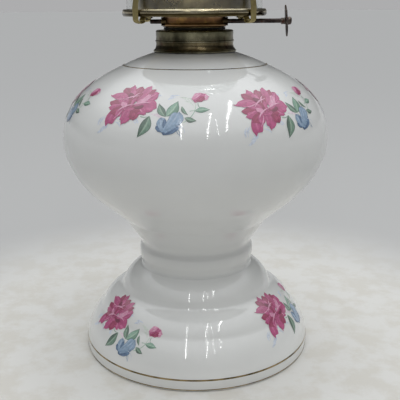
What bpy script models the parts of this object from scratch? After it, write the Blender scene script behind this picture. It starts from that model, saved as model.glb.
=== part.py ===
"""A table oil lamp: a porcelain font on a porcelain foot, a screw-in flat-wick burner and a glass chimney.

Everything is written in millimetres and turned into metres by MM where it meets Blender.
The origin is the centre of the foot's underside, +Z is up and the wick winder points along +X.
"""

import math

import bmesh
import bpy
from mathutils import Matrix, Vector

MM = 0.001
GAP = 0.3  # play left between pieces that touch
SMALL_GAP = 0.25  # play of the shaft in its bushes

# Porcelain
FOOT_RADIUS = 68.3
RIM_HEIGHT = 7.0
BULB_RADIUS = 76.2
BULB_CENTRE_HEIGHT = 128.4
SHOULDER_HEIGHT = 176.4
PORCELAIN_WALL = 4.0
WAIST_RADIUS = 32.8
WAIST_HEIGHT = 59.6
BEAD_HEIGHT = 12.0
BEAD_PROUD = 1.5
FUNNEL_HEIGHT = 15.2
FUNNEL_SPREAD = 9.8
TIER_SPREAD = 12.2
TIER_DROP = 14.4
GROOVE_SHARE = 0.544  # how far out the skirt's groove lies, from the tier to the rim
NECK_WALL = 2.0
NECK_LENGTH = 10.0
NECK_PLAY = 0.75

# Wick
WICK_WIDTH = 25.4
WICK_THICKNESS = 2.6
WICK_PROUD = 1.0
WICK_TO_FLOOR = 27.5

# Wick tube
TUBE_PLAY = 0.5
TUBE_SHEET = 0.5
TUBE_ABOVE_PAN = 17.5
TUBE_BELOW_FLANGE = 6.0
TUBE_TO_SCREW = 0.5

# Screw thread between collar and burner
THREAD_WALL = 1.0
THREAD_PITCH = 1.8
THREAD_DEPTH = 0.6
THREAD_PLAY = 0.45
THREAD_LENGTH = 7.2
THREAD_ROWS_PER_TURN = 4
THREAD_LEAD_IN = 0.6

# Metal collar, cemented over the neck
COLLAR_FLARE = 1.6
COLLAR_HEIGHT = 12.0
COLLAR_SHEET = 0.7
COLLAR_BEAD = 0.35
PLASTER_THICKNESS = 1.1

# Burner
GASKET_THICKNESS = 1.1
GASKET_WIDTH = 1.5
DRUM_STEP = 2.5
DRUM_HEIGHT = 5.8
DRUM_SHEET = 0.7
FLANGE_SHEET = 0.7
CAP_MARGIN = 2.7
CAP_HEIGHT = 2.6
CAP_SHEET = 0.6
PAN_MARGIN = 0.2
PAN_SHEET = 0.6
PAN_HOLE_RADIUS = 1.5
PAN_HOLE_STAGGER = 0.43  # share of the half width between the drum and the dome
PAN_HOLES = 20
GALLERY_BEAD_WIDTH = 1.9
GALLERY_BEAD_HEIGHT = 3.8
GALLERY_RISE = 0.4
DOME_HEIGHT = 24.0
DOME_SHEET = 0.5
DOME_FLANGE = 1.0
DOME_SLOT_MARGIN = 1.8

# Wick winder
SHAFT_RADIUS = 1.2
SHAFT_LEFT = 6.9
SPUR_RADIUS = 4.2
SPUR_TOOTH = 1.1
SPUR_TEETH = 12
SPUR_THICKNESS = 0.9
SPUR_INNER_PLACE = 3.5
SPUR_EDGE = 3.7
WHEEL_RADIUS = 8.5
WHEEL_THICKNESS = 0.9
WHEEL_REACH = 10.4
WHEEL_HUB_RADIUS = 2.5
WHEEL_HUB_LENGTH = 2.4
WHEEL_NOTCH = 0.4
BUTTON_LENGTH = 2.3
SHAFT_PAST_WHEEL = 0.9
BUSH_WALL = 0.55
BUSH_FLANGE = 0.4
BUSH_INSIDE = 2.6

# Chimney and the prongs that grip it
CHIMNEY_RADIUS = 37.8
CHIMNEY_HEIGHT = 216.0
CHIMNEY_BULGE_RADIUS = 50.0
CHIMNEY_TOP_RADIUS = 25.6
CHIMNEY_WALL = 1.9
CHIMNEY_FITTER = 17.0
PRONG_COUNT = 4
PRONG_FRONT_ANGLE = 49.0
PRONG_WIDTH = 4.7
PRONG_SHEET = 0.5
PRONG_HEIGHT = 20.0
PRONG_DROP = 2.6
PRONG_FOOT_END = 2.0
RIVET_RADIUS = 0.7
RIVET_HEAD = 1.3
RIVET_HEAD_HEIGHT = 0.7
RIVET_TO_GLASS = 0.5

# Facets
FINE = 32
MEDIUM = 24
COARSE = 12
RIVET_FACETS = 10
HOLE_FACETS = 6
SHARP_ANGLE = math.radians(32)
MERGE = 0.00001

# Radii that follow from the sizes above, from the wick outwards
TUBE_HALF_LENGTH = WICK_WIDTH / 2 + TUBE_PLAY + TUBE_SHEET
TUBE_HALF_WIDTH = WICK_THICKNESS / 2 + TUBE_PLAY + TUBE_SHEET
SCREW_BORE = TUBE_HALF_LENGTH + TUBE_TO_SCREW
THREAD_RADIUS = SCREW_BORE + THREAD_WALL
COLLAR_THREAD_RADIUS = THREAD_RADIUS + THREAD_PLAY
NECK_BORE = COLLAR_THREAD_RADIUS + THREAD_WALL + NECK_PLAY
NECK_RADIUS = NECK_BORE + NECK_WALL
COLLAR_RADIUS = NECK_RADIUS + PLASTER_THICKNESS + 2 * GAP + COLLAR_SHEET
DRUM_RADIUS = THREAD_RADIUS + DRUM_STEP
CAP_RADIUS = TUBE_HALF_LENGTH + CAP_MARGIN
PAN_RADIUS = CHIMNEY_RADIUS + PAN_MARGIN
GALLERY_CENTRE_RADIUS = PAN_RADIUS + GAP + GALLERY_BEAD_WIDTH / 2
GALLERY_OUTER = GALLERY_CENTRE_RADIUS + GALLERY_BEAD_WIDTH / 2
RIVET_RING = CHIMNEY_RADIUS - CHIMNEY_WALL - RIVET_TO_GLASS - RIVET_HEAD
DOME_RADIUS = RIVET_RING - RIVET_HEAD - GAP - DOME_FLANGE
WHEEL_PLACE = GALLERY_OUTER + WHEEL_REACH
SPUR_OUTER_PLACE = WICK_WIDTH / 2 - SPUR_EDGE
SPUR_PLACES = (-SPUR_OUTER_PLACE, -SPUR_INNER_PLACE, SPUR_INNER_PLACE, SPUR_OUTER_PLACE)

# Heights that follow from the sizes above
SEAM_HEIGHT = WAIST_HEIGHT + BEAD_HEIGHT / 2
CREASE_HEIGHT = SEAM_HEIGHT + FUNNEL_HEIGHT
FONT_FLOOR = SEAM_HEIGHT + PORCELAIN_WALL
COLLAR_TOP = SHOULDER_HEIGHT + COLLAR_HEIGHT
THREAD_TOP = COLLAR_TOP - THREAD_LEAD_IN
THREAD_BOTTOM = THREAD_TOP - THREAD_LENGTH
GASKET_BOTTOM = COLLAR_TOP + GAP
FLANGE_BOTTOM = GASKET_BOTTOM + GASKET_THICKNESS + GAP
DRUM_TOP = FLANGE_BOTTOM + DRUM_HEIGHT
PAN_BOTTOM = DRUM_TOP + GAP
PAN_TOP = PAN_BOTTOM + PAN_SHEET
CHIMNEY_BOTTOM = PAN_TOP + GAP
TUBE_TOP = PAN_TOP + TUBE_ABOVE_PAN
TUBE_BOTTOM = FLANGE_BOTTOM - TUBE_BELOW_FLANGE
WICK_TOP = TUBE_TOP + WICK_PROUD
WICK_BOTTOM = FONT_FLOOR + WICK_TO_FLOOR
BUSH_BORE = SHAFT_RADIUS + SMALL_GAP
BUSH_OUTER = BUSH_BORE + BUSH_WALL
SHAFT_HEIGHT = FLANGE_BOTTOM + FLANGE_SHEET + GAP + BUSH_OUTER
SHAFT_SIDE = -(WICK_THICKNESS / 2 + GAP + SPUR_RADIUS)


def colour(red, green, blue):
    return (red, green, blue, 1.0)


def material(name, base, roughness, metallic):
    made = bpy.data.materials.new(name)
    made.use_nodes = True
    shader = made.node_tree.nodes["Principled BSDF"]
    shader.inputs["Base Color"].default_value = base
    shader.inputs["Roughness"].default_value = roughness
    shader.inputs["Metallic"].default_value = metallic
    return made


def clear_scene():
    for obj in list(bpy.data.objects):
        bpy.data.objects.remove(obj)


def collection(name):
    made = bpy.data.collections.new(name)
    bpy.context.scene.collection.children.link(made)
    return made


def add(name, mesh, finish, place, parent=None):
    """Puts a mesh in the scene as one named piece, in millimetres about its parent's origin."""
    obj = bpy.data.objects.new(name, mesh)
    place.objects.link(obj)
    if finish is not None:
        mesh.materials.clear()
        mesh.materials.append(finish)
    if parent is not None:
        obj.parent = parent
    return obj


def axis_empty(name, place, position):
    """An empty on a joint's axis, that the moving pieces hang from."""
    empty = bpy.data.objects.new(name, None)
    empty.empty_display_size = 0.01
    empty.location = Vector(position) * MM
    place.objects.link(empty)
    return empty


def arc(centre, radii, start, end, count):
    """Points of an elliptical arc in the radius-height plane, from start to end degrees."""
    points = []
    for i in range(count + 1):
        angle = math.radians(start + (end - start) * i / count)
        points.append((centre[0] + radii[0] * math.cos(angle), centre[1] + radii[1] * math.sin(angle)))
    return points


def smooth_through(stations, per_span):
    """A Catmull-Rom curve through the stations, with per_span points for each pair."""
    points = []
    last = len(stations) - 1
    for i in range(last):
        before = stations[max(i - 1, 0)]
        start, end = stations[i], stations[i + 1]
        after = stations[min(i + 2, last)]
        for k in range(per_span):
            t = k / per_span
            point = []
            for a, b, c, d in zip(before, start, end, after):
                bend = (2 * a - 5 * b + 4 * c - d) * t * t + (3 * b - a - 3 * c + d) * t ** 3
                point.append((2 * b + (c - a) * t + bend) / 2)
            points.append(tuple(point))
    points.append(stations[last])
    return points


def offset_inward(points, wall):
    """The same line moved towards the axis side by a wall thickness, for a line that runs downward."""
    moved = []
    for i, (radius, height) in enumerate(points):
        before = points[max(i - 1, 0)]
        after = points[min(i + 1, len(points) - 1)]
        along = Vector((after[0] - before[0], after[1] - before[1])).normalized()
        moved.append((radius + along.y * wall, height - along.x * wall))
    return moved


def turned_mesh(name, profile, steps, closed):
    """A profile in the radius-height plane, turned round Z with a Screw modifier and made a mesh."""
    source = bpy.data.meshes.new(name)
    edges = [(i, i + 1) for i in range(len(profile) - 1)]
    if closed:
        edges.append((len(profile) - 1, 0))
    source.from_pydata([(r * MM, 0, z * MM) for r, z in profile], edges, [])
    holder = bpy.data.objects.new(name, source)
    bpy.context.scene.collection.objects.link(holder)
    screw = holder.modifiers.new("turn", "SCREW")
    screw.steps = steps
    screw.render_steps = steps
    screw.use_merge_vertices = True
    screw.merge_threshold = MERGE
    mesh = baked_mesh(holder)
    bpy.data.objects.remove(holder)
    bpy.data.meshes.remove(source)
    mesh.name = name
    return mesh


def baked_mesh(obj):
    """The mesh of an object with its modifiers applied, welded and with its faces pointing out."""
    graph = bpy.context.evaluated_depsgraph_get()
    mesh = bpy.data.meshes.new_from_object(obj.evaluated_get(graph))
    build = bmesh.new()
    build.from_mesh(mesh)
    bmesh.ops.remove_doubles(build, verts=build.verts, dist=MERGE)
    bmesh.ops.dissolve_degenerate(build, edges=build.edges, dist=MERGE)
    bmesh.ops.recalc_face_normals(build, faces=build.faces)
    build.to_mesh(mesh)
    build.free()
    return mesh


def shade(mesh):
    mesh.shade_smooth()
    mesh.set_sharp_from_angle(angle=SHARP_ANGLE)


def turned(name, profile, steps, finish, place, closed=True, parent=None):
    mesh = turned_mesh(name, profile, steps, closed)
    shade(mesh)
    return add(name, mesh, finish, place, parent)


def wave_thread(mesh, surface_radius):
    """Rolls a right-hand thread into the vertices that lie on one cylinder, fading out at both ends."""
    fade = THREAD_PITCH * 0.4
    for vertex in mesh.vertices:
        radius = math.hypot(vertex.co.x, vertex.co.y) / MM
        height = vertex.co.z / MM
        if abs(radius - surface_radius) > 0.01 or not THREAD_BOTTOM < height < THREAD_TOP:
            continue
        angle = math.atan2(vertex.co.y, vertex.co.x)
        strength = min(1, (height - THREAD_BOTTOM) / fade, (THREAD_TOP - height) / fade)
        wave = THREAD_DEPTH / 2 * strength * math.cos(math.tau * height / THREAD_PITCH - angle)
        vertex.co.x *= 1 + wave / radius
        vertex.co.y *= 1 + wave / radius


def thread_rows():
    """Heights of the rings that the thread needs, from high to low."""
    count = round(THREAD_LENGTH / THREAD_PITCH * THREAD_ROWS_PER_TURN)
    return [THREAD_TOP - THREAD_LENGTH * i / count for i in range(count + 1)]


def cutter(name, mesh, place):
    made = add(name, mesh, None, place)
    made.hide_render = True
    made.display_type = "WIRE"
    return made


def cut(target, tool):
    """Cuts the tool out of the target with an exact Boolean, and keeps the result as its mesh."""
    boolean = target.modifiers.new("cut", "BOOLEAN")
    boolean.operation = "DIFFERENCE"
    boolean.solver = "EXACT"
    boolean.object = tool
    bpy.context.view_layer.update()
    mesh = baked_mesh(target)
    target.modifiers.remove(boolean)
    old = target.data
    target.data = mesh
    bpy.data.meshes.remove(old)
    shade(mesh)


def box_mesh(name, low, high):
    build = bmesh.new()
    size = Vector(high) - Vector(low)
    middle = (Vector(high) + Vector(low)) / 2
    matrix = Matrix.Translation(middle * MM) @ Matrix.Diagonal((*(size * MM), 1))
    bmesh.ops.create_cube(build, size=1, matrix=matrix)
    mesh = bpy.data.meshes.new(name)
    build.to_mesh(mesh)
    build.free()
    return mesh


def rod_mesh(name, radius, low, high, axis, through=(0, 0, 0), segments=COARSE, tip_radius=None):
    """A closed cylinder or cone along X or Z, between two places on that axis."""
    build = bmesh.new()
    if axis == "X":
        turn = Matrix.Rotation(math.radians(90), 4, "Y")
        middle = Vector(((low + high) / 2, through[1], through[2]))
    else:
        turn = Matrix.Identity(4)
        middle = Vector((through[0], through[1], (low + high) / 2))
    bmesh.ops.create_cone(
        build,
        cap_ends=True,
        segments=segments,
        radius1=radius * MM,
        radius2=(radius if tip_radius is None else tip_radius) * MM,
        depth=(high - low) * MM,
        matrix=Matrix.Translation(middle * MM) @ turn,
    )
    mesh = bpy.data.meshes.new(name)
    build.to_mesh(mesh)
    build.free()
    return mesh


def join_meshes(name, meshes):
    """Several meshes as one, for a group of separate solids."""
    build = bmesh.new()
    for mesh in meshes:
        build.from_mesh(mesh)
        bpy.data.meshes.remove(mesh)
    joined = bpy.data.meshes.new(name)
    build.to_mesh(joined)
    build.free()
    return joined


# ---------------------------------------------------------------- porcelain


def bulb_line():
    """The outside of the bulb, from under the collar down to the crease above the waist."""
    rise = SHOULDER_HEIGHT - BULB_CENTRE_HEIGHT
    fall = BULB_CENTRE_HEIGHT - CREASE_HEIGHT
    crease_radius = WAIST_RADIUS + FUNNEL_SPREAD
    spread = BULB_RADIUS - crease_radius
    upper = ((0.413, 0.94), (0.534, 0.86), (0.667, 0.76), (0.787, 0.637), (0.889, 0.485), (0.96, 0.31))
    upper += ((0.993, 0.145),)
    lower = ((0.975, 0.165), (0.885, 0.335), (0.752, 0.5), (0.552, 0.665), (0.27, 0.835))
    stations = [(COLLAR_RADIUS + COLLAR_FLARE - 0.6, SHOULDER_HEIGHT)]
    stations += [(BULB_RADIUS * share, BULB_CENTRE_HEIGHT + rise * height) for share, height in upper]
    stations += [(BULB_RADIUS, BULB_CENTRE_HEIGHT)]
    for share, height in lower:
        stations.append((crease_radius + spread * share, BULB_CENTRE_HEIGHT - fall * height))
    stations += [(crease_radius, CREASE_HEIGHT)]
    return stations


def skirt_corners():
    """The tier's foot, the ripple's top, the groove and the rim's top edge, from the waist outwards."""
    tier = (WAIST_RADIUS + TIER_SPREAD, WAIST_HEIGHT - BEAD_HEIGHT / 2 - TIER_DROP)
    ripple = (tier[0] + 1.6, tier[1] - 2.6)
    groove_height = ripple[1] - (ripple[1] - RIM_HEIGHT) * 0.365
    groove = (ripple[0] + (FOOT_RADIUS - ripple[0]) * GROOVE_SHARE, groove_height)
    return [tier, ripple, groove, (FOOT_RADIUS, RIM_HEIGHT)]


def foot_line():
    """The outside of the foot from the seam down: bead, domed tier, ripple, skirt and upright rim."""
    bead_bottom = WAIST_HEIGHT - BEAD_HEIGHT / 2
    tier_foot, ripple_top, groove, edge = skirt_corners()
    notch = WAIST_RADIUS + 0.4
    bead = arc((WAIST_RADIUS, WAIST_HEIGHT), (BEAD_PROUD, BEAD_HEIGHT / 2), 60, -60, 4)
    tier = bowed((notch + 0.8, bead_bottom - 1.8), tier_foot, 0.9, 6)
    ripple = bowed(ripple_top, groove, 1.7, 4)
    skirt = bowed(groove, edge, 1.8, 5)
    rim = [(FOOT_RADIUS, 1.2), (FOOT_RADIUS - 1.1, 0)]
    return bead + [(notch, bead_bottom)] + tier + ripple + skirt[1:] + rim


def bowed(start, end, bulge, count):
    """A line from start to end, bowed outward by the bulge at its middle."""
    direction = Vector((end[0] - start[0], end[1] - start[1]))
    outward = Vector((-direction.y, direction.x)).normalized()
    points = []
    for i in range(count + 1):
        t = i / count
        point = Vector(start) + direction * t + outward * (bulge * 4 * t * (1 - t))
        points.append(tuple(point))
    return points


def porcelain_font(finish, place):
    """The oil font: a slip-cast bulb with its neck above and a short funnel with a thick floor below."""
    bulb = bulb_line()
    bottom = SEAM_HEIGHT + GAP / 2
    neck_top = SHOULDER_HEIGHT + NECK_LENGTH
    floor_radius = WAIST_RADIUS - 2 * PORCELAIN_WALL
    inside = [(0, FONT_FLOOR), (floor_radius * 0.7, FONT_FLOOR + 0.6), (floor_radius, FONT_FLOOR + 2.2)]
    inside += list(reversed(offset_inward(bulb, PORCELAIN_WALL)[2::2]))
    inside += [(NECK_BORE + 6.0, SHOULDER_HEIGHT - 6.2), (NECK_BORE, SHOULDER_HEIGHT - 3.6)]
    neck = [(NECK_BORE, neck_top), (NECK_RADIUS, neck_top), (NECK_RADIUS, SHOULDER_HEIGHT + 0.8)]
    funnel = [(WAIST_RADIUS + FUNNEL_SPREAD / 2 - 0.2, (CREASE_HEIGHT + SEAM_HEIGHT) / 2)]
    funnel += [(WAIST_RADIUS, bottom), (0, bottom)]
    profile = inside + neck + smooth_through(bulb, 1) + funnel
    return turned("porcelain_font", profile, FINE, finish, place, closed=False)


def porcelain_foot(finish, place):
    """The foot: a second casting, hollow and open below, joined to the font above the waist's bead."""
    top = SEAM_HEIGHT - GAP / 2
    roof = FONT_FLOOR - 2 * PORCELAIN_WALL
    bead_inside = WAIST_RADIUS - PORCELAIN_WALL
    hollow = [(FOOT_RADIUS - PORCELAIN_WALL - 0.6, 0), (FOOT_RADIUS - PORCELAIN_WALL, 1.0)]
    hollow += list(reversed(offset_inward(skirt_corners(), PORCELAIN_WALL)))
    hollow += [(WAIST_RADIUS + 0.8, WAIST_HEIGHT - 13.0), (bead_inside, WAIST_HEIGHT - 8.0)]
    hollow += [(bead_inside - 0.8, roof - 3.0), (bead_inside - 4.0, roof), (0, roof)]
    profile = [(0, top), (WAIST_RADIUS, top)] + foot_line() + hollow
    return turned("porcelain_foot", profile, FINE, finish, place, closed=False)


# ---------------------------------------------------------------- collar


def collar(finish, place):
    """A pressed brass cap over the neck, whose turned-in top carries the internal thread."""
    bottom = SHOULDER_HEIGHT + GAP
    bore = COLLAR_THREAD_RADIUS
    tube = bore + THREAD_WALL
    flare = COLLAR_RADIUS + COLLAR_FLARE
    skirt = COLLAR_RADIUS - COLLAR_SHEET
    bead = bottom + 5.8
    outside = [(bore + 0.4, COLLAR_TOP), (COLLAR_RADIUS - 0.8, COLLAR_TOP), (COLLAR_RADIUS, COLLAR_TOP - 0.8)]
    outside += [(COLLAR_RADIUS, bead + 0.6), (COLLAR_RADIUS + COLLAR_BEAD, bead), (COLLAR_RADIUS, bead - 0.6)]
    flaring = [(COLLAR_RADIUS + 0.05, bottom + 3.4), (COLLAR_RADIUS + COLLAR_FLARE * 0.45, bottom + 1.7)]
    outside += smooth_through(flaring + [(flare, bottom + 0.6)], 2) + [(flare, bottom)]
    inside = [(flare - COLLAR_SHEET, bottom), (skirt, bottom + 3.2), (skirt, COLLAR_TOP - COLLAR_SHEET)]
    inside += [(tube, COLLAR_TOP - COLLAR_SHEET), (tube, THREAD_BOTTOM - 0.5), (bore, THREAD_BOTTOM - 0.5)]
    rows = [(bore, height) for height in reversed(thread_rows())]
    mesh = turned_mesh("collar", outside + inside + rows, MEDIUM, closed=True)
    wave_thread(mesh, bore)
    shade(mesh)
    return add("collar", mesh, finish, place)


def collar_plaster(finish, place):
    """The ring of plaster that fixes the collar's skirt to the porcelain neck."""
    inner = NECK_RADIUS + GAP
    outer = inner + PLASTER_THICKNESS
    low = SHOULDER_HEIGHT + 4.0
    high = SHOULDER_HEIGHT + NECK_LENGTH - 0.8
    profile = [(outer, high), (outer, low), (inner, low), (inner, high)]
    return turned("collar_plaster", profile, MEDIUM, finish, place)


# ---------------------------------------------------------------- burner base


def burner_gasket(finish, place, parent):
    inner = THREAD_RADIUS + THREAD_DEPTH / 2 + GAP
    outer = inner + GASKET_WIDTH
    low, high = GASKET_BOTTOM, GASKET_BOTTOM + GASKET_THICKNESS
    profile = [(outer - 0.2, high), (outer, high - 0.25), (outer, low + 0.25), (outer - 0.2, low)]
    profile += [(inner, low), (inner, high)]
    return turned("burner_gasket", profile, MEDIUM, finish, place, parent=parent)


def threaded_base(finish, place, parent):
    """The burner's screw: a short tube with a rolled thread, under a flange that closes on the gasket."""
    flange = DRUM_RADIUS - DRUM_SHEET - GAP
    flange_top = FLANGE_BOTTOM + FLANGE_SHEET
    head = [(SCREW_BORE, flange_top), (flange, flange_top)]
    head += [(flange, FLANGE_BOTTOM), (THREAD_RADIUS, FLANGE_BOTTOM)]
    rows = [(THREAD_RADIUS, height) for height in thread_rows()]
    end = [(THREAD_RADIUS, THREAD_BOTTOM - 0.5), (SCREW_BORE, THREAD_BOTTOM - 0.5)]
    mesh = turned_mesh("threaded_base", head + rows + end, MEDIUM, closed=True)
    wave_thread(mesh, THREAD_RADIUS)
    shade(mesh)
    return add("threaded_base", mesh, finish, place, parent)


def drum_shell(finish, place, cutters, parent):
    """The copper-coloured drum round the spur wheels, with a rounded foot bead and a rolled lip."""
    inner = DRUM_RADIUS - DRUM_SHEET
    low, high = FLANGE_BOTTOM, DRUM_TOP
    outside = [(inner, high), (DRUM_RADIUS + 0.1, high), (DRUM_RADIUS + 0.3, high - 0.4)]
    outside += [(DRUM_RADIUS + 0.1, high - 0.8), (DRUM_RADIUS - 0.15, high - 1.2)]
    outside += [(DRUM_RADIUS - 0.15, low + 2.2)]
    outside += arc((DRUM_RADIUS - 0.5, low + 1.1), (0.9, 1.1), 50, -90, 4)
    profile = outside + [(inner, low)]
    drum = turned("drum_shell", profile, MEDIUM, finish, place, parent=parent)
    reach = DRUM_RADIUS + 3
    hole = BUSH_OUTER + GAP
    tool = rod_mesh("shaft_way", hole, -reach, reach, "X", (0, SHAFT_SIDE, SHAFT_HEIGHT), COARSE)
    cut(drum, cutter("shaft_way", tool, cutters))
    return drum


def tube_outline(half_length, half_width):
    """A flat oval with round ends, as the section of a wick tube."""
    straight = half_length - half_width
    points = []
    for centre, start in ((straight, -90), (-straight, 90)):
        for i in range(5):
            angle = math.radians(start + 45 * i)
            points.append((centre + half_width * math.cos(angle), half_width * math.sin(angle)))
    return points


def oval_prism(name, half_length, half_width, low, high):
    """A closed upright prism with that oval section."""
    build = bmesh.new()
    corners = [build.verts.new((x * MM, y * MM, low * MM)) for x, y in tube_outline(half_length, half_width)]
    face = build.faces.new(corners)
    top = bmesh.ops.extrude_face_region(build, geom=[face])
    raised = [item for item in top["geom"] if isinstance(item, bmesh.types.BMVert)]
    bmesh.ops.translate(build, verts=raised, vec=(0, 0, (high - low) * MM))
    bmesh.ops.recalc_face_normals(build, faces=build.faces)
    mesh = bpy.data.meshes.new(name)
    build.to_mesh(mesh)
    build.free()
    return mesh


def wick_tube(finish, place, cutters, parent):
    """The flat tube that guides the wick, slotted at the front for the spur wheels."""
    outer = oval_prism("wick_tube", TUBE_HALF_LENGTH, TUBE_HALF_WIDTH, TUBE_BOTTOM, TUBE_TOP)
    tube = add("wick_tube", outer, finish, place, parent)
    inner_length, inner_width = TUBE_HALF_LENGTH - TUBE_SHEET, TUBE_HALF_WIDTH - TUBE_SHEET
    bore = oval_prism("tube_bore", inner_length, inner_width, TUBE_BOTTOM - 2, TUBE_TOP + 2)
    cut(tube, cutter("tube_bore", bore, cutters))
    half_slot = SPUR_THICKNESS / 2 + GAP
    depth = TUBE_HALF_WIDTH - TUBE_SHEET
    reach = math.sqrt(SPUR_RADIUS ** 2 - (-SHAFT_SIDE - TUBE_HALF_WIDTH) ** 2) + GAP
    slots = [
        box_mesh(
            "slot",
            (place_x - half_slot, -TUBE_HALF_WIDTH - 1, SHAFT_HEIGHT - reach),
            (place_x + half_slot, -depth + 0.4, SHAFT_HEIGHT + reach),
        )
        for place_x in SPUR_PLACES
    ]
    cut(tube, cutter("spur_slots", join_meshes("spur_slots", slots), cutters))
    return tube


def winder_cap(finish, place, cutters, parent):
    """A low cap on the pan that covers the spur wheels and holds the wick tube upright."""
    low = PAN_TOP + GAP
    high = low + CAP_HEIGHT
    sheet = CAP_SHEET
    outside = [(0, high), (CAP_RADIUS - 1.6, high), (CAP_RADIUS - 0.5, high - 0.5), (CAP_RADIUS, high - 1.6)]
    outside += [(CAP_RADIUS, low), (CAP_RADIUS - sheet, low)]
    inside = [(CAP_RADIUS - sheet, high - 1.6), (CAP_RADIUS - 1.6, high - sheet), (0, high - sheet)]
    cap = turned("winder_cap", outside + inside, MEDIUM, finish, place, closed=False, parent=parent)
    hole = oval_prism("tube_hole", TUBE_HALF_LENGTH + GAP, TUBE_HALF_WIDTH + GAP, low - 1, high + 1)
    cut(cap, cutter("tube_hole", hole, cutters))
    return cap


def shaft_bush(name, side, finish, place, parent):
    """A flanged eyelet in the drum's wall that the winder shaft turns in."""
    inner, outer = BUSH_BORE, BUSH_OUTER
    wall = math.sqrt(DRUM_RADIUS ** 2 - (abs(SHAFT_SIDE) - outer - BUSH_FLANGE) ** 2)
    inside_end = wall - BUSH_INSIDE
    flange_face = wall + GAP
    flange = outer + BUSH_FLANGE
    profile = [(inner, flange_face + 0.7), (flange, flange_face + 0.7), (flange, flange_face)]
    profile += [(outer, flange_face), (outer, inside_end), (inner, inside_end)]
    mesh = turned_mesh(name, profile, COARSE, closed=True)
    turn = Matrix.Rotation(math.radians(90 * side), 4, "Y")
    mesh.transform(Matrix.Translation(Vector((0, SHAFT_SIDE, SHAFT_HEIGHT)) * MM) @ turn)
    shade(mesh)
    return add(name, mesh, finish, place, parent)


# ---------------------------------------------------------------- gallery


def prong_angle(index):
    """The prongs stand in two pairs, PRONG_FRONT_ANGLE to each side of the front and of the back."""
    side = 1 if index % 2 else -1
    front_or_back = -90 if index < PRONG_COUNT / 2 else 90
    return math.radians(front_or_back + side * PRONG_FRONT_ANGLE)


def air_pan(finish, place, cutters, parent):
    """The shallow perforated plate that lets air up to the flame and carries the chimney."""
    inner = THREAD_RADIUS - THREAD_WALL
    profile = [(inner, PAN_TOP), (PAN_RADIUS, PAN_TOP), (PAN_RADIUS, PAN_BOTTOM), (inner, PAN_BOTTOM)]
    pan = turned("air_pan", profile, FINE, finish, place, parent=parent)
    holes = []
    inside, outside = DRUM_RADIUS + 2.6, DOME_RADIUS - DOME_SHEET
    stagger = (outside - inside) / 2 * PAN_HOLE_STAGGER
    spots = []
    for i in range(PAN_HOLES):
        angle = math.tau * (i + 0.5) / PAN_HOLES
        radius = (inside + outside) / 2 + (stagger if i % 2 else -stagger)
        spots.append((PAN_HOLE_RADIUS, radius, angle))
    for i in range(PRONG_COUNT):
        spots.append((RIVET_RADIUS + GAP, RIVET_RING, prong_angle(i)))
    for hole_radius, radius, angle in spots:
        middle = (radius * math.cos(angle), radius * math.sin(angle), 0)
        holes.append(rod_mesh("hole", hole_radius, PAN_BOTTOM - 1, PAN_TOP + 1, "Z", middle, HOLE_FACETS))
    cut(pan, cutter("pan_holes", join_meshes("pan_holes", holes), cutters))
    return pan


def gallery_ring(finish, place, parent):
    """The rolled bead round the pan."""
    centre = (GALLERY_CENTRE_RADIUS, PAN_TOP + GALLERY_RISE)
    half = (GALLERY_BEAD_WIDTH / 2, GALLERY_BEAD_HEIGHT / 2)
    profile = arc(centre, half, 90, -270, 10)[:-1]
    return turned("gallery_ring", profile, FINE, finish, place, parent=parent)


def prong_line():
    """The side view of a prong: foot under the pan, spring loop below the bead, blade up the glass."""
    foot = PAN_BOTTOM - GAP - PRONG_SHEET / 2
    foot_end = GALLERY_OUTER - GALLERY_BEAD_WIDTH - 1.6
    blade = GALLERY_OUTER + GAP + PRONG_SHEET / 2
    grip = CHIMNEY_RADIUS + GAP + PRONG_SHEET / 2
    top = PAN_TOP + PRONG_HEIGHT
    loop_low = PAN_TOP + GALLERY_RISE - GALLERY_BEAD_HEIGHT / 2 - PRONG_DROP
    line = [(RIVET_RING - PRONG_FOOT_END, foot), (RIVET_RING + 1.6, foot), (foot_end, foot - 1.4)]
    line += arc((blade - 2.6, loop_low + 2.2), (2.6, 2.2), 230, 360, 6)
    line += [(blade, PAN_TOP + 4.5), (grip + 0.6, top - 6.5), (grip, top - 4.6), (grip + 0.5, top - 2.8)]
    return line + [(grip + 2.0, top)]


def prong_mesh(name):
    """A strip of spring brass along the prong line, cut narrower at its tip."""
    line = prong_line()
    build = bmesh.new()
    rows = []
    for i, (radius, height) in enumerate(line):
        narrow = 0.62 if i in (0, len(line) - 1) else 1.0
        half = PRONG_WIDTH / 2 * narrow
        rows.append([build.verts.new((radius * MM, side * half * MM, height * MM)) for side in (-1, 1)])
    for (a, b), (c, d) in zip(rows, rows[1:]):
        build.faces.new((a, b, d, c))
    mesh = bpy.data.meshes.new(name)
    build.to_mesh(mesh)
    build.free()
    return mesh


def prongs(finish, place, cutters, parent):
    for i in range(PRONG_COUNT):
        name = f"chimney_prong_{i + 1}"
        prong = add(name, prong_mesh(name), finish, place, parent)
        solidify = prong.modifiers.new("sheet", "SOLIDIFY")
        solidify.thickness = PRONG_SHEET * MM
        solidify.offset = 0
        solidify.use_even_offset = True
        bpy.context.view_layer.update()
        prong.data = baked_mesh(prong)
        prong.modifiers.clear()
        spot = (RIVET_RING, 0, 0)
        low, high = PAN_BOTTOM - 4, PAN_BOTTOM + 2
        hole = rod_mesh("rivet_way", RIVET_RADIUS + GAP, low, high, "Z", spot, HOLE_FACETS)
        cut(prong, cutter(f"rivet_way_{i + 1}", hole, cutters))
        prong.data.transform(Matrix.Rotation(prong_angle(i), 4, "Z"))


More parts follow.
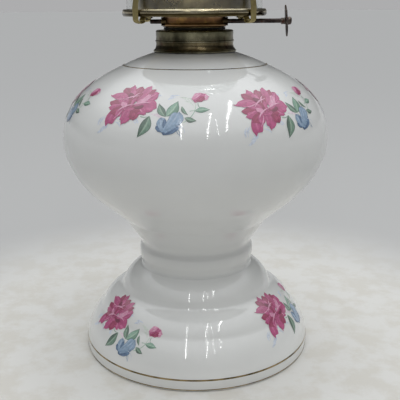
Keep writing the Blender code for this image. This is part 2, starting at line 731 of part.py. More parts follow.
def prong_rivets(finish, place, parent):
    """A rivet through each prong's foot, with a head below it and one above the pan."""
    low_head = PAN_BOTTOM - GAP - PRONG_SHEET - GAP
    high_head = PAN_TOP + GAP
    crown, shoulder = RIVET_HEAD_HEIGHT, RIVET_HEAD_HEIGHT - 0.1
    profile = [(0, high_head + crown), (RIVET_HEAD * 0.7, high_head + shoulder), (RIVET_HEAD, high_head)]
    profile += [(RIVET_RADIUS, high_head), (RIVET_RADIUS, low_head), (RIVET_HEAD, low_head)]
    profile += [(RIVET_HEAD * 0.7, low_head - shoulder), (0, low_head - crown)]
    for i in range(PRONG_COUNT):
        name = f"prong_rivet_{i + 1}"
        rivet = turned(name, profile, RIVET_FACETS, finish, place, closed=False, parent=parent)
        angle = prong_angle(i)
        spot = Vector((RIVET_RING * math.cos(angle), RIVET_RING * math.sin(angle), 0))
        rivet.data.transform(Matrix.Translation(spot * MM))


def deflector_dome(finish, place, cutters, parent):
    """The spun dome that steers air on to the flame, with a slot over the wick tube."""
    low = PAN_TOP + GAP
    crown = low + DOME_HEIGHT
    shares = ((0.3, 0.01), (0.52, 0.067), (0.73, 0.192), (0.88, 0.383), (0.965, 0.625), (1.0, 0.854))
    shape = [(DOME_RADIUS * share, crown - DOME_HEIGHT * fall) for share, fall in shares]
    outside = [(0, crown)] + shape + [(DOME_RADIUS, low + 0.9), (DOME_RADIUS + DOME_FLANGE, low + DOME_SHEET)]
    outside += [(DOME_RADIUS + DOME_FLANGE, low), (DOME_RADIUS - DOME_SHEET, low)]
    inner_shape = list(reversed(offset_inward([(0, crown)] + shape, DOME_SHEET)[1:]))
    inside = inner_shape + [(0, crown - DOME_SHEET)]
    dome = turned("deflector_dome", outside + inside, FINE, finish, place, closed=False, parent=parent)
    half_length, half_width = TUBE_HALF_LENGTH + DOME_SLOT_MARGIN, TUBE_HALF_WIDTH + DOME_SLOT_MARGIN
    slot = oval_prism("dome_slot", half_length, half_width, crown - DOME_HEIGHT * 0.375, crown + 3)
    cut(dome, cutter("dome_slot", slot, cutters))
    return dome


# ---------------------------------------------------------------- winder and wick


def winder_shaft(finish, place, parent):
    end = WHEEL_PLACE + WHEEL_THICKNESS + SHAFT_PAST_WHEEL
    mesh = rod_mesh("winder_shaft", SHAFT_RADIUS, -DRUM_RADIUS - SHAFT_LEFT, end, "X")
    shade(mesh)
    return add("winder_shaft", mesh, finish, place, parent)


def spur_outline():
    points = []
    for i in range(SPUR_TEETH * 2):
        radius = SPUR_RADIUS if i % 2 == 0 else SPUR_RADIUS - SPUR_TOOTH
        angle = math.pi * i / SPUR_TEETH
        points.append((radius * math.cos(angle), radius * math.sin(angle)))
    return points


def extruded_outline(name, outlines, thickness):
    """A flat outline with its holes as a filled 2D curve, given thickness, as one welded mesh."""
    curve = bpy.data.curves.new(name, "CURVE")
    curve.dimensions = "2D"
    curve.fill_mode = "BOTH"
    curve.extrude = thickness / 2 * MM
    for outline in outlines:
        spline = curve.splines.new("POLY")
        spline.points.add(len(outline) - 1)
        for point, (x, y) in zip(spline.points, outline):
            point.co = (x * MM, y * MM, 0, 1)
        spline.use_cyclic_u = True
    holder = bpy.data.objects.new(name, curve)
    bpy.context.scene.collection.objects.link(holder)
    mesh = baked_mesh(holder)
    bpy.data.objects.remove(holder)
    bpy.data.curves.remove(curve)
    return mesh


def spur_wheels(finish, place, parent):
    """Star wheels whose points bite the wick through the tube's slots."""
    bore = arc((0, 0), (SHAFT_RADIUS + GAP, SHAFT_RADIUS + GAP), 0, 360, 12)[:-1]
    for i, place_x in enumerate(SPUR_PLACES):
        name = f"spur_wheel_{i + 1}"
        mesh = extruded_outline(name, [spur_outline(), bore], SPUR_THICKNESS)
        mesh.transform(Matrix.Translation((place_x * MM, 0, 0)) @ Matrix.Rotation(math.radians(90), 4, "Y"))
        add(name, mesh, finish, place, parent)


def thumbwheel(finish, place, parent):
    """A pressed disc with a milled edge, a raised ring on its face and a tapered hub."""
    bore = SHAFT_RADIUS + GAP
    back = WHEEL_PLACE - WHEEL_THICKNESS / 2
    front = WHEEL_PLACE + WHEEL_THICKNESS / 2
    profile = [(bore, front), (WHEEL_RADIUS - 3.0, front), (WHEEL_RADIUS - 2.5, front + 0.3)]
    profile += [(WHEEL_RADIUS - 2.0, front), (WHEEL_RADIUS, front), (WHEEL_RADIUS, back)]
    profile += [(WHEEL_HUB_RADIUS, back), (bore + 0.4, back - WHEEL_HUB_LENGTH), (bore, back - WHEEL_HUB_LENGTH)]
    mesh = turned_mesh("thumbwheel", profile, FINE, closed=True)
    for vertex in mesh.vertices:
        radius = math.hypot(vertex.co.x, vertex.co.y)
        step = round(math.atan2(vertex.co.y, vertex.co.x) / math.tau * FINE)
        if radius > (WHEEL_RADIUS - 0.1) * MM and step % 2:
            vertex.co.x *= 1 - WHEEL_NOTCH / WHEEL_RADIUS
            vertex.co.y *= 1 - WHEEL_NOTCH / WHEEL_RADIUS
    mesh.transform(Matrix.Rotation(math.radians(90), 4, "Y"))
    shade(mesh)
    return add("thumbwheel", mesh, finish, place, parent)


def shaft_button(finish, place, parent):
    """The small cap peened over the shaft's end to keep the thumbwheel on."""
    start = WHEEL_PLACE + WHEEL_THICKNESS / 2 + GAP
    bore = SHAFT_RADIUS + GAP
    outer = bore + 0.6
    end = start + BUTTON_LENGTH
    floor = WHEEL_PLACE + WHEEL_THICKNESS + SHAFT_PAST_WHEEL + GAP
    profile = [(0, end), (outer - 0.9, end - 0.15), (outer, end - 0.8), (outer, start), (bore, start)]
    profile += [(bore, floor), (0, floor)]
    mesh = turned_mesh("shaft_button", profile, COARSE, closed=False)
    mesh.transform(Matrix.Rotation(math.radians(90), 4, "Y"))
    shade(mesh)
    return add("shaft_button", mesh, finish, place, parent)


def wick(finish, place, parent):
    """A flat strip of woven cotton that hangs from the tube into the oil."""
    mesh = oval_prism("wick", WICK_WIDTH / 2, WICK_THICKNESS / 2, WICK_BOTTOM, WICK_TOP)
    mesh.transform(Matrix.Translation((0, 0, -WICK_TOP * MM)))
    shade(mesh)
    return add("wick", mesh, finish, place, parent)


def chimney(finish, place, parent):
    """Clear blown glass: a straight fitter, a bulge round the flame and a tapered flue with a flared lip."""
    height, fitter = CHIMNEY_HEIGHT, CHIMNEY_FITTER
    bulge, top = CHIMNEY_BULGE_RADIUS, CHIMNEY_TOP_RADIUS
    rise = height - fitter
    stations = [(top + 1.2, height), (top + 0.5, height - 3.5), (top, height - 16)]
    shares = ((0.06, 0.83), (0.18, 0.72), (0.38, 0.61), (0.62, 0.51), (0.86, 0.40))
    stations += [(top + (bulge - top) * share, fitter + rise * level) for share, level in shares]
    stations += [(bulge, fitter + rise * 0.25), (bulge - 1.6, fitter + rise * 0.165)]
    stations += [((bulge + CHIMNEY_RADIUS) / 2 - 0.2, fitter + rise * 0.075)]
    stations += [(CHIMNEY_RADIUS + 0.8, fitter + 3.2)]
    stations += [(CHIMNEY_RADIUS, fitter), (CHIMNEY_RADIUS, 1.2)]
    outside = stations + [(CHIMNEY_RADIUS - 0.5, 0)]
    inside = list(reversed(offset_inward(stations, CHIMNEY_WALL)[:-1]))
    foot, lip = (CHIMNEY_RADIUS - CHIMNEY_WALL, 0), (top + 1.2 - CHIMNEY_WALL, height)
    profile = outside + [foot] + inside[:-1] + [lip]
    return turned("glass_chimney", profile, FINE, finish, place, parent=parent)


def main():
    clear_scene()
    lamp = collection("oil_lamp")
    cutters = collection("cutters")
    cutters.hide_render = True

    glaze = material("white_porcelain", colour(0.80, 0.80, 0.78), 0.08, 0.0)
    aged = material("aged_brass", colour(0.20, 0.19, 0.13), 0.38, 1.0)
    bright = material("olive_brass", colour(0.46, 0.42, 0.27), 0.26, 1.0)
    copper = material("coppery_brass", colour(0.36, 0.20, 0.11), 0.32, 1.0)
    steel = material("blackened_steel", colour(0.05, 0.045, 0.05), 0.45, 1.0)
    spring = material("dull_spring_brass", colour(0.30, 0.27, 0.13), 0.55, 1.0)
    plaster = material("collar_plaster", colour(0.72, 0.69, 0.62), 0.9, 0.0)
    rubber = material("black_rubber", colour(0.02, 0.02, 0.02), 0.7, 0.0)
    cotton = material("cotton", colour(0.78, 0.74, 0.64), 0.95, 0.0)
    glass = material("clear_glass", colour(0.9, 0.93, 0.92), 0.02, 0.0)

    porcelain_font(glaze, lamp)
    porcelain_foot(glaze, lamp)
    collar(aged, lamp)
    collar_plaster(plaster, lamp)

    gasket_axis = axis_empty("gasket_axis", lamp, (0, 0, 0))
    burner_gasket(rubber, lamp, gasket_axis)

    burner_axis = axis_empty("burner_axis", lamp, (0, 0, 0))
    threaded_base(bright, lamp, burner_axis)
    drum_shell(copper, lamp, cutters, burner_axis)
    wick_tube(bright, lamp, cutters, burner_axis)
    winder_cap(bright, lamp, cutters, burner_axis)
    shaft_bush("shaft_bush_right", 1, bright, lamp, burner_axis)
    shaft_bush("shaft_bush_left", -1, bright, lamp, burner_axis)
    air_pan(bright, lamp, cutters, burner_axis)
    gallery_ring(bright, lamp, burner_axis)
    prongs(spring, lamp, cutters, burner_axis)
    prong_rivets(bright, lamp, burner_axis)
    deflector_dome(bright, lamp, cutters, burner_axis)

    winder_axis = axis_empty("winder_axis", lamp, (0, SHAFT_SIDE, SHAFT_HEIGHT))
    winder_shaft(steel, lamp, winder_axis)
    spur_wheels(bright, lamp, winder_axis)
    thumbwheel(steel, lamp, winder_axis)
    shaft_button(steel, lamp, winder_axis)

    wick_axis = axis_empty("wick_axis", lamp, (0, 0, WICK_TOP))
    wick(cotton, lamp, wick_axis)

    chimney_axis = axis_empty("chimney_axis", lamp, (0, 0, CHIMNEY_BOTTOM))
    chimney(glass, lamp, chimney_axis)


main()
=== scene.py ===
"""The looks of a porcelain table oil lamp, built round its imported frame, from the table up."""

import math
import random

import bmesh
import bpy
from mathutils import Matrix, Vector, noise


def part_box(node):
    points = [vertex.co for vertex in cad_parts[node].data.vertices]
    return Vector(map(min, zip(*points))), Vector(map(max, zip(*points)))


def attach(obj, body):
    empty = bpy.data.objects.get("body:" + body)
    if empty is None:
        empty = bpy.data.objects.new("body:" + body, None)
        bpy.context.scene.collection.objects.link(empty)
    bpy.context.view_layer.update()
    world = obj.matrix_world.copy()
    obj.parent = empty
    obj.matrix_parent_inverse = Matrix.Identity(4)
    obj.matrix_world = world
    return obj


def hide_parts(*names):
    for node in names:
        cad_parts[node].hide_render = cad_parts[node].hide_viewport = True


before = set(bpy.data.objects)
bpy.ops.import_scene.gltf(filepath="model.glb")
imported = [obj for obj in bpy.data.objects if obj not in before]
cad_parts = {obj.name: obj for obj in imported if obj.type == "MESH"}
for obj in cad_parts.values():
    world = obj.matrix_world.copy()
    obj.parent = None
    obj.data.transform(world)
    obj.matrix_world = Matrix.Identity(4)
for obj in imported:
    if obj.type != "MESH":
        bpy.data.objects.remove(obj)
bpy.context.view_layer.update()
MM = 0.001


# Camera: a camera on a stand, level with the burner and a short arm's reach in front of the lamp. It looks
# down at the waist through a lens of middle length, and leans by less than half a degree.
CAMERA_PLACE = (0, -390 * MM, 200 * MM)
CAMERA_PITCH = math.radians(90 - 15.91)
CAMERA_ROLL = math.radians(-0.42)

lens = bpy.data.cameras.new("camera")
lens.sensor_width = 36
lens.lens = 60.54
lens.shift_x = 0.0103
lens.clip_start = 0.01
camera = bpy.data.objects.new("camera", lens)
bpy.context.scene.collection.objects.link(camera)
turn = Matrix.Rotation(CAMERA_PITCH, 4, "X") @ Matrix.Rotation(CAMERA_ROLL, 4, "Z")
camera.matrix_world = Matrix.Translation(CAMERA_PLACE) @ turn
bpy.context.scene.camera = camera
bpy.context.scene.view_settings.view_transform = "Standard"


# Studio floor: a wide roll of pale matte paper laid flat on a table. A pool of light is painted into its
# colour, bright under the lamp and falling to grey further out, and things stood on it before have left warm
# scuffs near the foot.
FLOOR_RADIUS = 60.0
POOL_INSIDE = 0.13
POOL_OUTSIDE = 0.27
SCUFF_SIZE = 22.2


def linear(hex_colour):
    """An sRGB hex colour as the linear colour that the shaders take."""
    channels = [int(hex_colour[i:i + 2], 16) / 255 for i in (1, 3, 5)]
    return [c / 12.92 if c <= 0.04045 else ((c + 0.055) / 1.055) ** 2.4 for c in channels] + [1.0]


def feed(tree, socket, value):
    """Links an input to a socket, or to the first output in use of a node; any other value is set on it."""
    if isinstance(value, bpy.types.Node):
        value = next(output for output in value.outputs if output.enabled)
    if isinstance(value, bpy.types.NodeSocket):
        tree.links.new(value, socket)
    else:
        socket.default_value = value


def add_node(tree, kind, settings=None, inputs=None, stops=()):
    """Adds a shader node with its settings and inputs. stops are the (position, hex colour) pairs of a
    colour ramp."""
    made = tree.nodes.new("ShaderNode" + kind)
    for name, value in (settings or {}).items():
        setattr(made, name, value)
    for key, value in (inputs or {}).items():
        feed(tree, made.inputs[key], value)
    for _ in stops[2:]:
        made.color_ramp.elements.new(1.0)
    for i, (position, colour) in enumerate(stops):
        made.color_ramp.elements[i].position = position
        made.color_ramp.elements[i].color = linear(colour)
    return made


def new_material(name, colour, roughness, metallic=0.0, ior=None):
    """A material with its Principled shader's own sockets set; returns it with its tree and shader."""
    made = bpy.data.materials.new(name)
    made.use_nodes = True
    shader = made.node_tree.nodes["Principled BSDF"]
    shader.inputs["Base Color"].default_value = linear(colour)
    shader.inputs["Roughness"].default_value = roughness
    shader.inputs["Metallic"].default_value = metallic
    if ior:
        shader.inputs["IOR"].default_value = ior
    return made, made.node_tree, shader


def cloudy(tree, shader, size, detail, stops, relief=None):
    """Tints a surface in clouds of a size in millimetres, through the stops of a colour ramp. relief is the
    size, detail, strength and depth of a slight unevenness that bends the gloss."""
    place = add_node(tree, "TexCoord").outputs["Object"]
    clouds = add_node(tree, "TexNoise", inputs={"Vector": place, "Scale": 1 / (size * MM), "Detail": detail})
    tint = add_node(tree, "ValToRGB", inputs={"Fac": clouds}, stops=stops)
    feed(tree, shader.inputs["Base Color"], tint)
    if relief:
        size, detail, strength, depth = relief
        waves = add_node(tree, "TexNoise",
                         inputs={"Vector": place, "Scale": 1 / (size * MM), "Detail": detail})
        bump = add_node(tree, "Bump", inputs={"Strength": strength, "Distance": depth * MM,
                                              "Height": waves})
        feed(tree, shader.inputs["Normal"], bump)


# Heavy matte paper: no gloss at all; its colour carries a painted pool of light and the scuffs.
paper, tree, shader = new_material("backdrop_paper", "#c8c8c3", 0.8)
place = add_node(tree, "TexCoord").outputs["Object"]
reach = add_node(tree, "VectorMath", {"operation": "LENGTH"}, {0: place})
# Painted pool of light: the paper's colour is brightest under the lamp and falls to grey further out.
painted_light_pool = add_node(tree, "MapRange", {"interpolation_type": "SMOOTHSTEP"},
                {"Value": reach, "From Min": POOL_INSIDE, "From Max": POOL_OUTSIDE})
sheet = add_node(tree, "ValToRGB", inputs={"Fac": painted_light_pool}, stops=((0, "#dcdbd7"), (1, "#b9b9b8")))
scuffs = add_node(tree, "TexNoise", inputs={"Vector": place, "Scale": 1 / (SCUFF_SIZE * MM), "Detail": 6.0,
                                            "Roughness": 0.65})
mottle = add_node(tree, "ValToRGB", inputs={"Fac": scuffs}, stops=((0.42, "#f6f4f0"), (0.56, "#ffffff")))
near = add_node(tree, "MapRange", inputs={"Value": painted_light_pool, "To Min": 1.0, "To Max": 0.0})
worn = add_node(tree, "Mix", {"data_type": "RGBA", "blend_type": "MULTIPLY"},
                {"Factor": near, 6: sheet, 7: mottle})
feed(tree, shader.inputs["Base Color"], worn)

floor_mesh = bpy.data.meshes.new("studio_floor")
shape = bmesh.new()
bmesh.ops.create_circle(shape, cap_ends=True, segments=96, radius=FLOOR_RADIUS)
shape.to_mesh(floor_mesh)
shape.free()
floor_mesh.materials.append(paper)
studio_floor = bpy.data.objects.new("studio_floor", floor_mesh)
bpy.context.scene.collection.objects.link(studio_floor)


# Light: a large soft lamp overhead, stronger behind the lamp than in front, in a grey room that is darker
# above the horizon. Narrow bare tubes leave the long highlights that run down the glaze.
WALL_GREY = "#adadae"
LAMP_WHITE = "#f4f6f8"
CEILING_FROM = 0.38
CEILING_TO = 1.0
BEHIND_FROM = 0.6
FRONT_FROM = -0.3
HORIZON_TO = 0.02
WALL_FROM = 0.12
STRENGTH_BEHIND = 2.35
STRENGTH_IN_FRONT = 1.3
STRENGTH_HORIZON = 1.0
STRENGTH_WALL = 0.12
world = bpy.data.worlds.new("studio_light")
world.use_nodes = True
bpy.context.scene.world = world
tree = world.node_tree
sky = tree.nodes["Background"]
direction = add_node(tree, "TexCoord").outputs["Generated"]
parts = add_node(tree, "SeparateXYZ", inputs={0: direction})
lift = add_node(tree, "MapRange", {"interpolation_type": "SMOOTHSTEP"},
                {"Value": parts.outputs["Z"], "From Min": CEILING_FROM, "From Max": CEILING_TO})
behind = add_node(tree, "MapRange", {"interpolation_type": "SMOOTHSTEP"},
                  {"Value": parts.outputs["Y"], "From Min": BEHIND_FROM, "From Max": FRONT_FROM,
                   "To Min": STRENGTH_BEHIND, "To Max": STRENGTH_IN_FRONT})
ceiling = add_node(tree, "Math", {"operation": "MULTIPLY"}, {0: lift, 1: behind})
room = add_node(tree, "MapRange", {"interpolation_type": "SMOOTHSTEP"},
                {"Value": parts.outputs["Z"], "From Min": HORIZON_TO, "From Max": WALL_FROM,
                 "To Min": STRENGTH_HORIZON, "To Max": STRENGTH_WALL})
total = add_node(tree, "Math", {"operation": "ADD"}, {0: ceiling, 1: room})
tint = add_node(tree, "ValToRGB", inputs={"Fac": ceiling}, stops=((0, WALL_GREY), (0.5, LAMP_WHITE)))
feed(tree, sky.inputs["Color"], tint)
feed(tree, sky.inputs["Strength"], total)

# Each straight length of tube: degrees round from the front and up of its two ends, width and radiance.
TUBES = (
    ("left_tube", (-11.6, 24), (-16, 57), 0.012, 20), ("near_tube_low", (10, 26), (12, 42), 0.010, 20),
    ("near_tube_high", (12, 42), (25, 67), 0.010, 20), ("far_tube_low", (28, 38), (39, 56), 0.009, 20),
    ("far_tube_high", (39, 56), (92, 72), 0.030, 16), ("faint_tube", (20, 33), (25, 58), 0.006, 14),
    ("back_tube", (165, 77), (144, 73.5), 0.030, 18),
)
TUBE_DISTANCE = 1.1
TUBE_CENTRE = Vector((0, 0, 0.1))


def tube_end(degrees_round, degrees_up):
    across, up = math.radians(degrees_round), math.radians(degrees_up)
    aim = Vector((math.sin(across) * math.cos(up), -math.cos(across) * math.cos(up), math.sin(up)))
    return TUBE_CENTRE + aim * TUBE_DISTANCE


for name, lower_end, upper_end, width, radiance in TUBES:
    start, stop = tube_end(*lower_end), tube_end(*upper_end)
    lamp = bpy.data.lights.new(name, "AREA")
    lamp.shape = "RECTANGLE"
    lamp.size, lamp.size_y = width, (stop - start).length
    lamp.energy = radiance * math.pi * lamp.size * lamp.size_y
    middle = (start + stop) / 2
    along = (stop - start).normalized()
    away = middle - TUBE_CENTRE
    away = (away - along * away.dot(along)).normalized()
    facing = Matrix((along.cross(away), along, away)).transposed().to_4x4()
    holder = bpy.data.objects.new(name, lamp)
    holder.matrix_world = Matrix.Translation(middle) @ facing
    bpy.context.scene.collection.objects.link(holder)


# Porcelain font and foot: two slip-cast white pieces luted at the waist, then glazed and fired as one.
# The glaze gives a mirror gloss with slow ripples; the cast body under it is faintly grey and uneven.
porcelain_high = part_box("porcelain_font")[1]
BULB_RADIUS = porcelain_high.x / MM
BULB_CENTRE_HEIGHT = 128.4
SHOULDER_HEIGHT = porcelain_high.z / MM - 10.0
FOOT_RADIUS = 68.3
RIM_HEIGHT = 7.0
WAIST_RADIUS = 32.8
WAIST_HEIGHT = 59.6
BEAD_HALF = 6.0
CREASE_HEIGHT = WAIST_HEIGHT + BEAD_HALF + 15.2
CREASE_RADIUS = WAIST_RADIUS + 9.8
PORCELAIN_WALL = 4.0
NECK_BORE = 17.4
NECK_RADIUS = 19.4
TURN_STEPS = 144


def smooth_through(stations, per_span):
    """A Catmull-Rom curve through the stations, with per_span points for each pair."""
    points = []
    last = len(stations) - 1
    for i in range(last):
        a, b = Vector(stations[max(i - 1, 0)]), Vector(stations[i])
        c, d = Vector(stations[i + 1]), Vector(stations[min(i + 2, last)])
        for k in range(per_span):
            t = k / per_span
            bend = (2 * a - 5 * b + 4 * c - d) * t * t + (3 * b - a - 3 * c + d) * t ** 3
            points.append(tuple((2 * b + (c - a) * t + bend) / 2))
    points.append(tuple(stations[last]))
    return points


def arc(centre, radii, start, end, count):
    """Points of an elliptical arc in the radius-height plane, from start to end degrees."""
    points = []
    for i in range(count + 1):
        angle = math.radians(start + (end - start) * i / count)
        points.append((centre[0] + radii[0] * math.cos(angle), centre[1] + radii[1] * math.sin(angle)))
    return points


def bowed(start, end, bulge, count):
    """A line from start to end, bowed outward by the bulge at its middle."""
    along = Vector(end) - Vector(start)
    outward = Vector((-along.y, along.x)).normalized()
    return [tuple(Vector(start) + along * t + outward * bulge * 4 * t * (1 - t))
            for t in (i / count for i in range(count + 1))]


def offset_inward(points, wall):
    """The same line moved towards the axis side by a wall thickness, for a line that runs downward."""
    moved = []
    for i, (radius, height) in enumerate(points):
        before, after = points[max(i - 1, 0)], points[min(i + 1, len(points) - 1)]
        along = Vector((after[0] - before[0], after[1] - before[1])).normalized()
        moved.append((radius + along.y * wall, height - along.x * wall))
    return moved


def finish_mesh(name, shape, material, sharp=35):
    """Turns a bmesh in millimetres into a shaded object in metres."""
    bmesh.ops.remove_doubles(shape, verts=shape.verts, dist=0.0005)
    bmesh.ops.recalc_face_normals(shape, faces=shape.faces)
    mesh = bpy.data.meshes.new(name)
    shape.to_mesh(mesh)
    shape.free()
    mesh.transform(Matrix.Scale(MM, 4))
    mesh.shade_smooth()
    mesh.set_sharp_from_angle(angle=math.radians(sharp))
    mesh.materials.append(material)
    made = bpy.data.objects.new(name, mesh)
    bpy.context.scene.collection.objects.link(made)
    return made


def turned(name, profile, material, steps=TURN_STEPS, closed=True, shift=None, sharp=35):
    """A profile of (radius, height) turned round Z; shift(radius, height, angle) may change the radius."""
    shape = bmesh.new()
    rings = []
    for radius, height in profile:
        ring = []
        for i in range(steps):
            angle = math.tau * i / steps
            moved = shift(radius, height, angle) if shift else radius
            ring.append(shape.verts.new((moved * math.cos(angle), moved * math.sin(angle), height)))
        rings.append(ring)
    pairs = list(zip(rings, rings[1:]))
    if closed:
        pairs.append((rings[-1], rings[0]))
    for upper, lower in pairs:
        for i in range(steps):
            k = (i + 1) % steps
            shape.faces.new((upper[i], lower[i], lower[k], upper[k]))
    return finish_mesh(name, shape, material, sharp=sharp)


def bulb_stations():
    rise = SHOULDER_HEIGHT - BULB_CENTRE_HEIGHT
    fall = BULB_CENTRE_HEIGHT - CREASE_HEIGHT
    spread = BULB_RADIUS - CREASE_RADIUS
    upper = ((0.413, 0.94), (0.534, 0.86), (0.667, 0.76), (0.787, 0.637), (0.889, 0.485), (0.96, 0.31))
    upper += ((0.993, 0.145),)
    lower = ((0.975, 0.165), (0.885, 0.335), (0.752, 0.5), (0.552, 0.665), (0.27, 0.835))
    stations = [(22.8, SHOULDER_HEIGHT)]
    stations += [(BULB_RADIUS * share, BULB_CENTRE_HEIGHT + rise * height) for share, height in upper]
    stations += [(BULB_RADIUS, BULB_CENTRE_HEIGHT)]
    stations += [(CREASE_RADIUS + spread * share, BULB_CENTRE_HEIGHT - fall * height)
                 for share, height in lower]
    return stations + [(CREASE_RADIUS, CREASE_HEIGHT)]


def foot_line():
    """The outside from the crease down: funnel, bead, sloping tier, ripple, skirt and upright rim."""
    bead_top, bead_bottom = WAIST_HEIGHT + BEAD_HALF, WAIST_HEIGHT - BEAD_HALF
    tier_top = (WAIST_RADIUS + 0.9, bead_bottom - 2.6)
    tier_foot = (WAIST_RADIUS + 12.2, bead_bottom - 14.4)
    ripple_top = (tier_foot[0] + 1.6, tier_foot[1] - 2.6)
    groove_drop = (ripple_top[1] - RIM_HEIGHT) * 0.365
    groove = (ripple_top[0] + (FOOT_RADIUS - ripple_top[0]) * 0.544, ripple_top[1] - groove_drop)
    waist = smooth_through([
        (CREASE_RADIUS, CREASE_HEIGHT), (WAIST_RADIUS + 4.9, (CREASE_HEIGHT + bead_top) / 2),
        (WAIST_RADIUS + 1.3, bead_top + 2.4), (WAIST_RADIUS + 0.35, bead_top + 0.2),
        (WAIST_RADIUS + 0.6, bead_top - 1.6), (WAIST_RADIUS + 1.3, WAIST_HEIGHT + 2.4),
        (WAIST_RADIUS + 1.5, WAIST_HEIGHT), (WAIST_RADIUS + 1.25, WAIST_HEIGHT - 2.8),
        (WAIST_RADIUS + 0.6, bead_bottom + 0.8), (WAIST_RADIUS + 0.35, bead_bottom - 0.9), tier_top], 5)[1:]
    tier = bowed(tier_top, tier_foot, 1.7, 14)[1:-2]
    ripple = bowed(ripple_top, groove, 1.7, 12)[1:]
    skirt = bowed(groove, (FOOT_RADIUS, RIM_HEIGHT), 1.8, 16)[1:]
    turn_out = smooth_through([tier[-1], (tier_foot[0] - 0.15, tier_foot[1] + 0.1),
                               (tier_foot[0] + 0.75, tier_foot[1] - 1.5), ripple[0]], 4)[1:-1]
    rim = arc((FOOT_RADIUS - 1.2, 1.2), (1.2, 1.2), 0, -90, 5)
    return waist + tier + turn_out + ripple + skirt + rim


outside = smooth_through(bulb_stations(), 6) + foot_line()
font_floor = WAIST_HEIGHT + BEAD_HALF + PORCELAIN_WALL
font_inside = [(0, font_floor), (WAIST_RADIUS - 8, font_floor + 2.2)]
font_inside += list(reversed(offset_inward(bulb_stations(), PORCELAIN_WALL)[2:]))
font_inside += [(NECK_BORE + 6, SHOULDER_HEIGHT - 6.2), (NECK_BORE, SHOULDER_HEIGHT - 3.6)]
neck = [(NECK_BORE, SHOULDER_HEIGHT + 9.6), (NECK_BORE + 0.4, SHOULDER_HEIGHT + 10),
        (NECK_RADIUS - 0.4, SHOULDER_HEIGHT + 10)]
neck += [(NECK_RADIUS, SHOULDER_HEIGHT + 9.6), (NECK_RADIUS, SHOULDER_HEIGHT + 0.8)]
foot_inside = [(FOOT_RADIUS - PORCELAIN_WALL - 0.6, 0), (FOOT_RADIUS - PORCELAIN_WALL, 1),
               (FOOT_RADIUS - 4, RIM_HEIGHT - 1)]
foot_inside += smooth_through([(55.0, 23.0), (42.0, 33.0), (39.6, 39.0), (33.6, 46.6), (28.8, 51.6),
                               (28.0, 58.0)], 3)
foot_inside += [(24.8, font_floor - 2 * PORCELAIN_WALL), (0, font_floor - 2 * PORCELAIN_WALL)]

# Clear feldspar glaze over a white body: a hard, wet gloss under a milky depth.
glaze, tree, shader = new_material("glazed_porcelain", "#e9e9e4", 0.07, ior=1.52)
shader.inputs["Coat Weight"].default_value = 0.35
shader.inputs["Coat Roughness"].default_value = 0.03
cloudy(tree, shader, size=71.4, detail=3.0, stops=((0.35, "#e5e6e4"), (0.7, "#ecedeb")),
       relief=(18.2, 1.0, 0.12, 0.6))

porcelain = turned("porcelain", font_inside + neck + outside + foot_inside, glaze, closed=False)
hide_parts("porcelain_font", "porcelain_foot")
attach(porcelain, "lamp_base")


# Gilding: bright gold painted on with a brush while the lamp turns, then fired. One line circles the
# shoulder and two edge the foot's upright rim; years of handling have browned and thinned them.
GILT_LIFT = 0.05
GILT_LINES = (("shoulder_gilt", 40.6, 169.7, 0.75), ("rim_top_gilt", 68.2, 7.4, 1.0),
              ("rim_foot_gilt", 68.25, 1.3, 0.6))

# Burnished gold worn thin: a dull glint that comes and goes along the line.
gilt, tree, shader = new_material("worn_gilding", "#8a7a50", 0.32, metallic=1.0)
cloudy(tree, shader, size=6.25, detail=4.0, stops=((0.35, "#5b5138"), (0.65, "#a8936a")))

ARC_LENGTHS = [0.0]
for (r0, z0), (r1, z1) in zip(outside, outside[1:]):
    ARC_LENGTHS.append(ARC_LENGTHS[-1] + math.hypot(r1 - r0, z1 - z0))


def on_outside(distance, lift):
    """Radius and height at a distance down the outside from the collar, lifted off the glaze."""
    i = 1
    while i < len(ARC_LENGTHS) - 1 and ARC_LENGTHS[i] < distance:
        i += 1
    span = ARC_LENGTHS[i] - ARC_LENGTHS[i - 1]
    t = (distance - ARC_LENGTHS[i - 1]) / span
    (r0, z0), (r1, z1) = outside[i - 1], outside[i]
    return r0 + (r1 - r0) * t - (z1 - z0) / span * lift, z0 + (z1 - z0) * t + (r1 - r0) / span * lift


def distance_to(radius, height):
    """How far down the outside its nearest point to a radius and height lies."""
    nearest = min(range(len(outside)),
                  key=lambda i: math.hypot(outside[i][0] - radius, outside[i][1] - height))
    return ARC_LENGTHS[nearest]


for name, radius, height, width in GILT_LINES:
    middle = distance_to(radius, height)
    section = [on_outside(middle + width * (t - 0.5), GILT_LIFT * (0.4 + 0.6 * math.sin(math.pi * t)))
               for t in (0, 0.25, 0.5, 0.75, 1)]
    section += [on_outside(middle + width / 2, -0.1), on_outside(middle - width / 2, -0.1)]
    line = turned(name, section, gilt)
    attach(line, "lamp_base")


# Rose sprays: printed ceramic transfers, slid on wet and fired into the glaze, six round the bulb and
# three round the foot. Each holds a full crimson rose, green leaves, a blue flower and a pink bud.
ROSE = ("#9c3262", "#c2588a", "#dd95b6", "#ae4272")
ROSE_DEEP = ("#84284a", "#a5375f", "#bd5c84", "#7c2344")
ROSE_PALE = ("#c76f97", "#dc9ab8", "#eecbda", "#d893b0")
CURL = ("#cf82a6", "#d994b4", "#e6b2ca", "#c97ba0")
SHADE = ("#6c1f3c", "#7f2546", "#963057", "#641b37")
LEAF = ("#445c4e", "#6d907b", "#b0c9b2", "#33443a")
LEAF_PALE = ("#57826b", "#86ad98", "#bbd5be", "#466856")
BLUE = ("#7390ab", "#98b1c8", "#c3d2e0", "#536a80")
BLUE_DARK = ("#34506d", "#587a9c", "#88a5c0", "#223344")
WASH_BLUE = ("#c3cede", "#ccd6e4", "#d8dfe8", "#c0cbdc")
WASH_GREEN = ("#c8d3c8", "#d0d9ce", "#d9e0d8", "#bccabc")
WASH_PINK = ("#dfcad6", "#e3d2dc", "#e6dae0", "#d8c0cd")

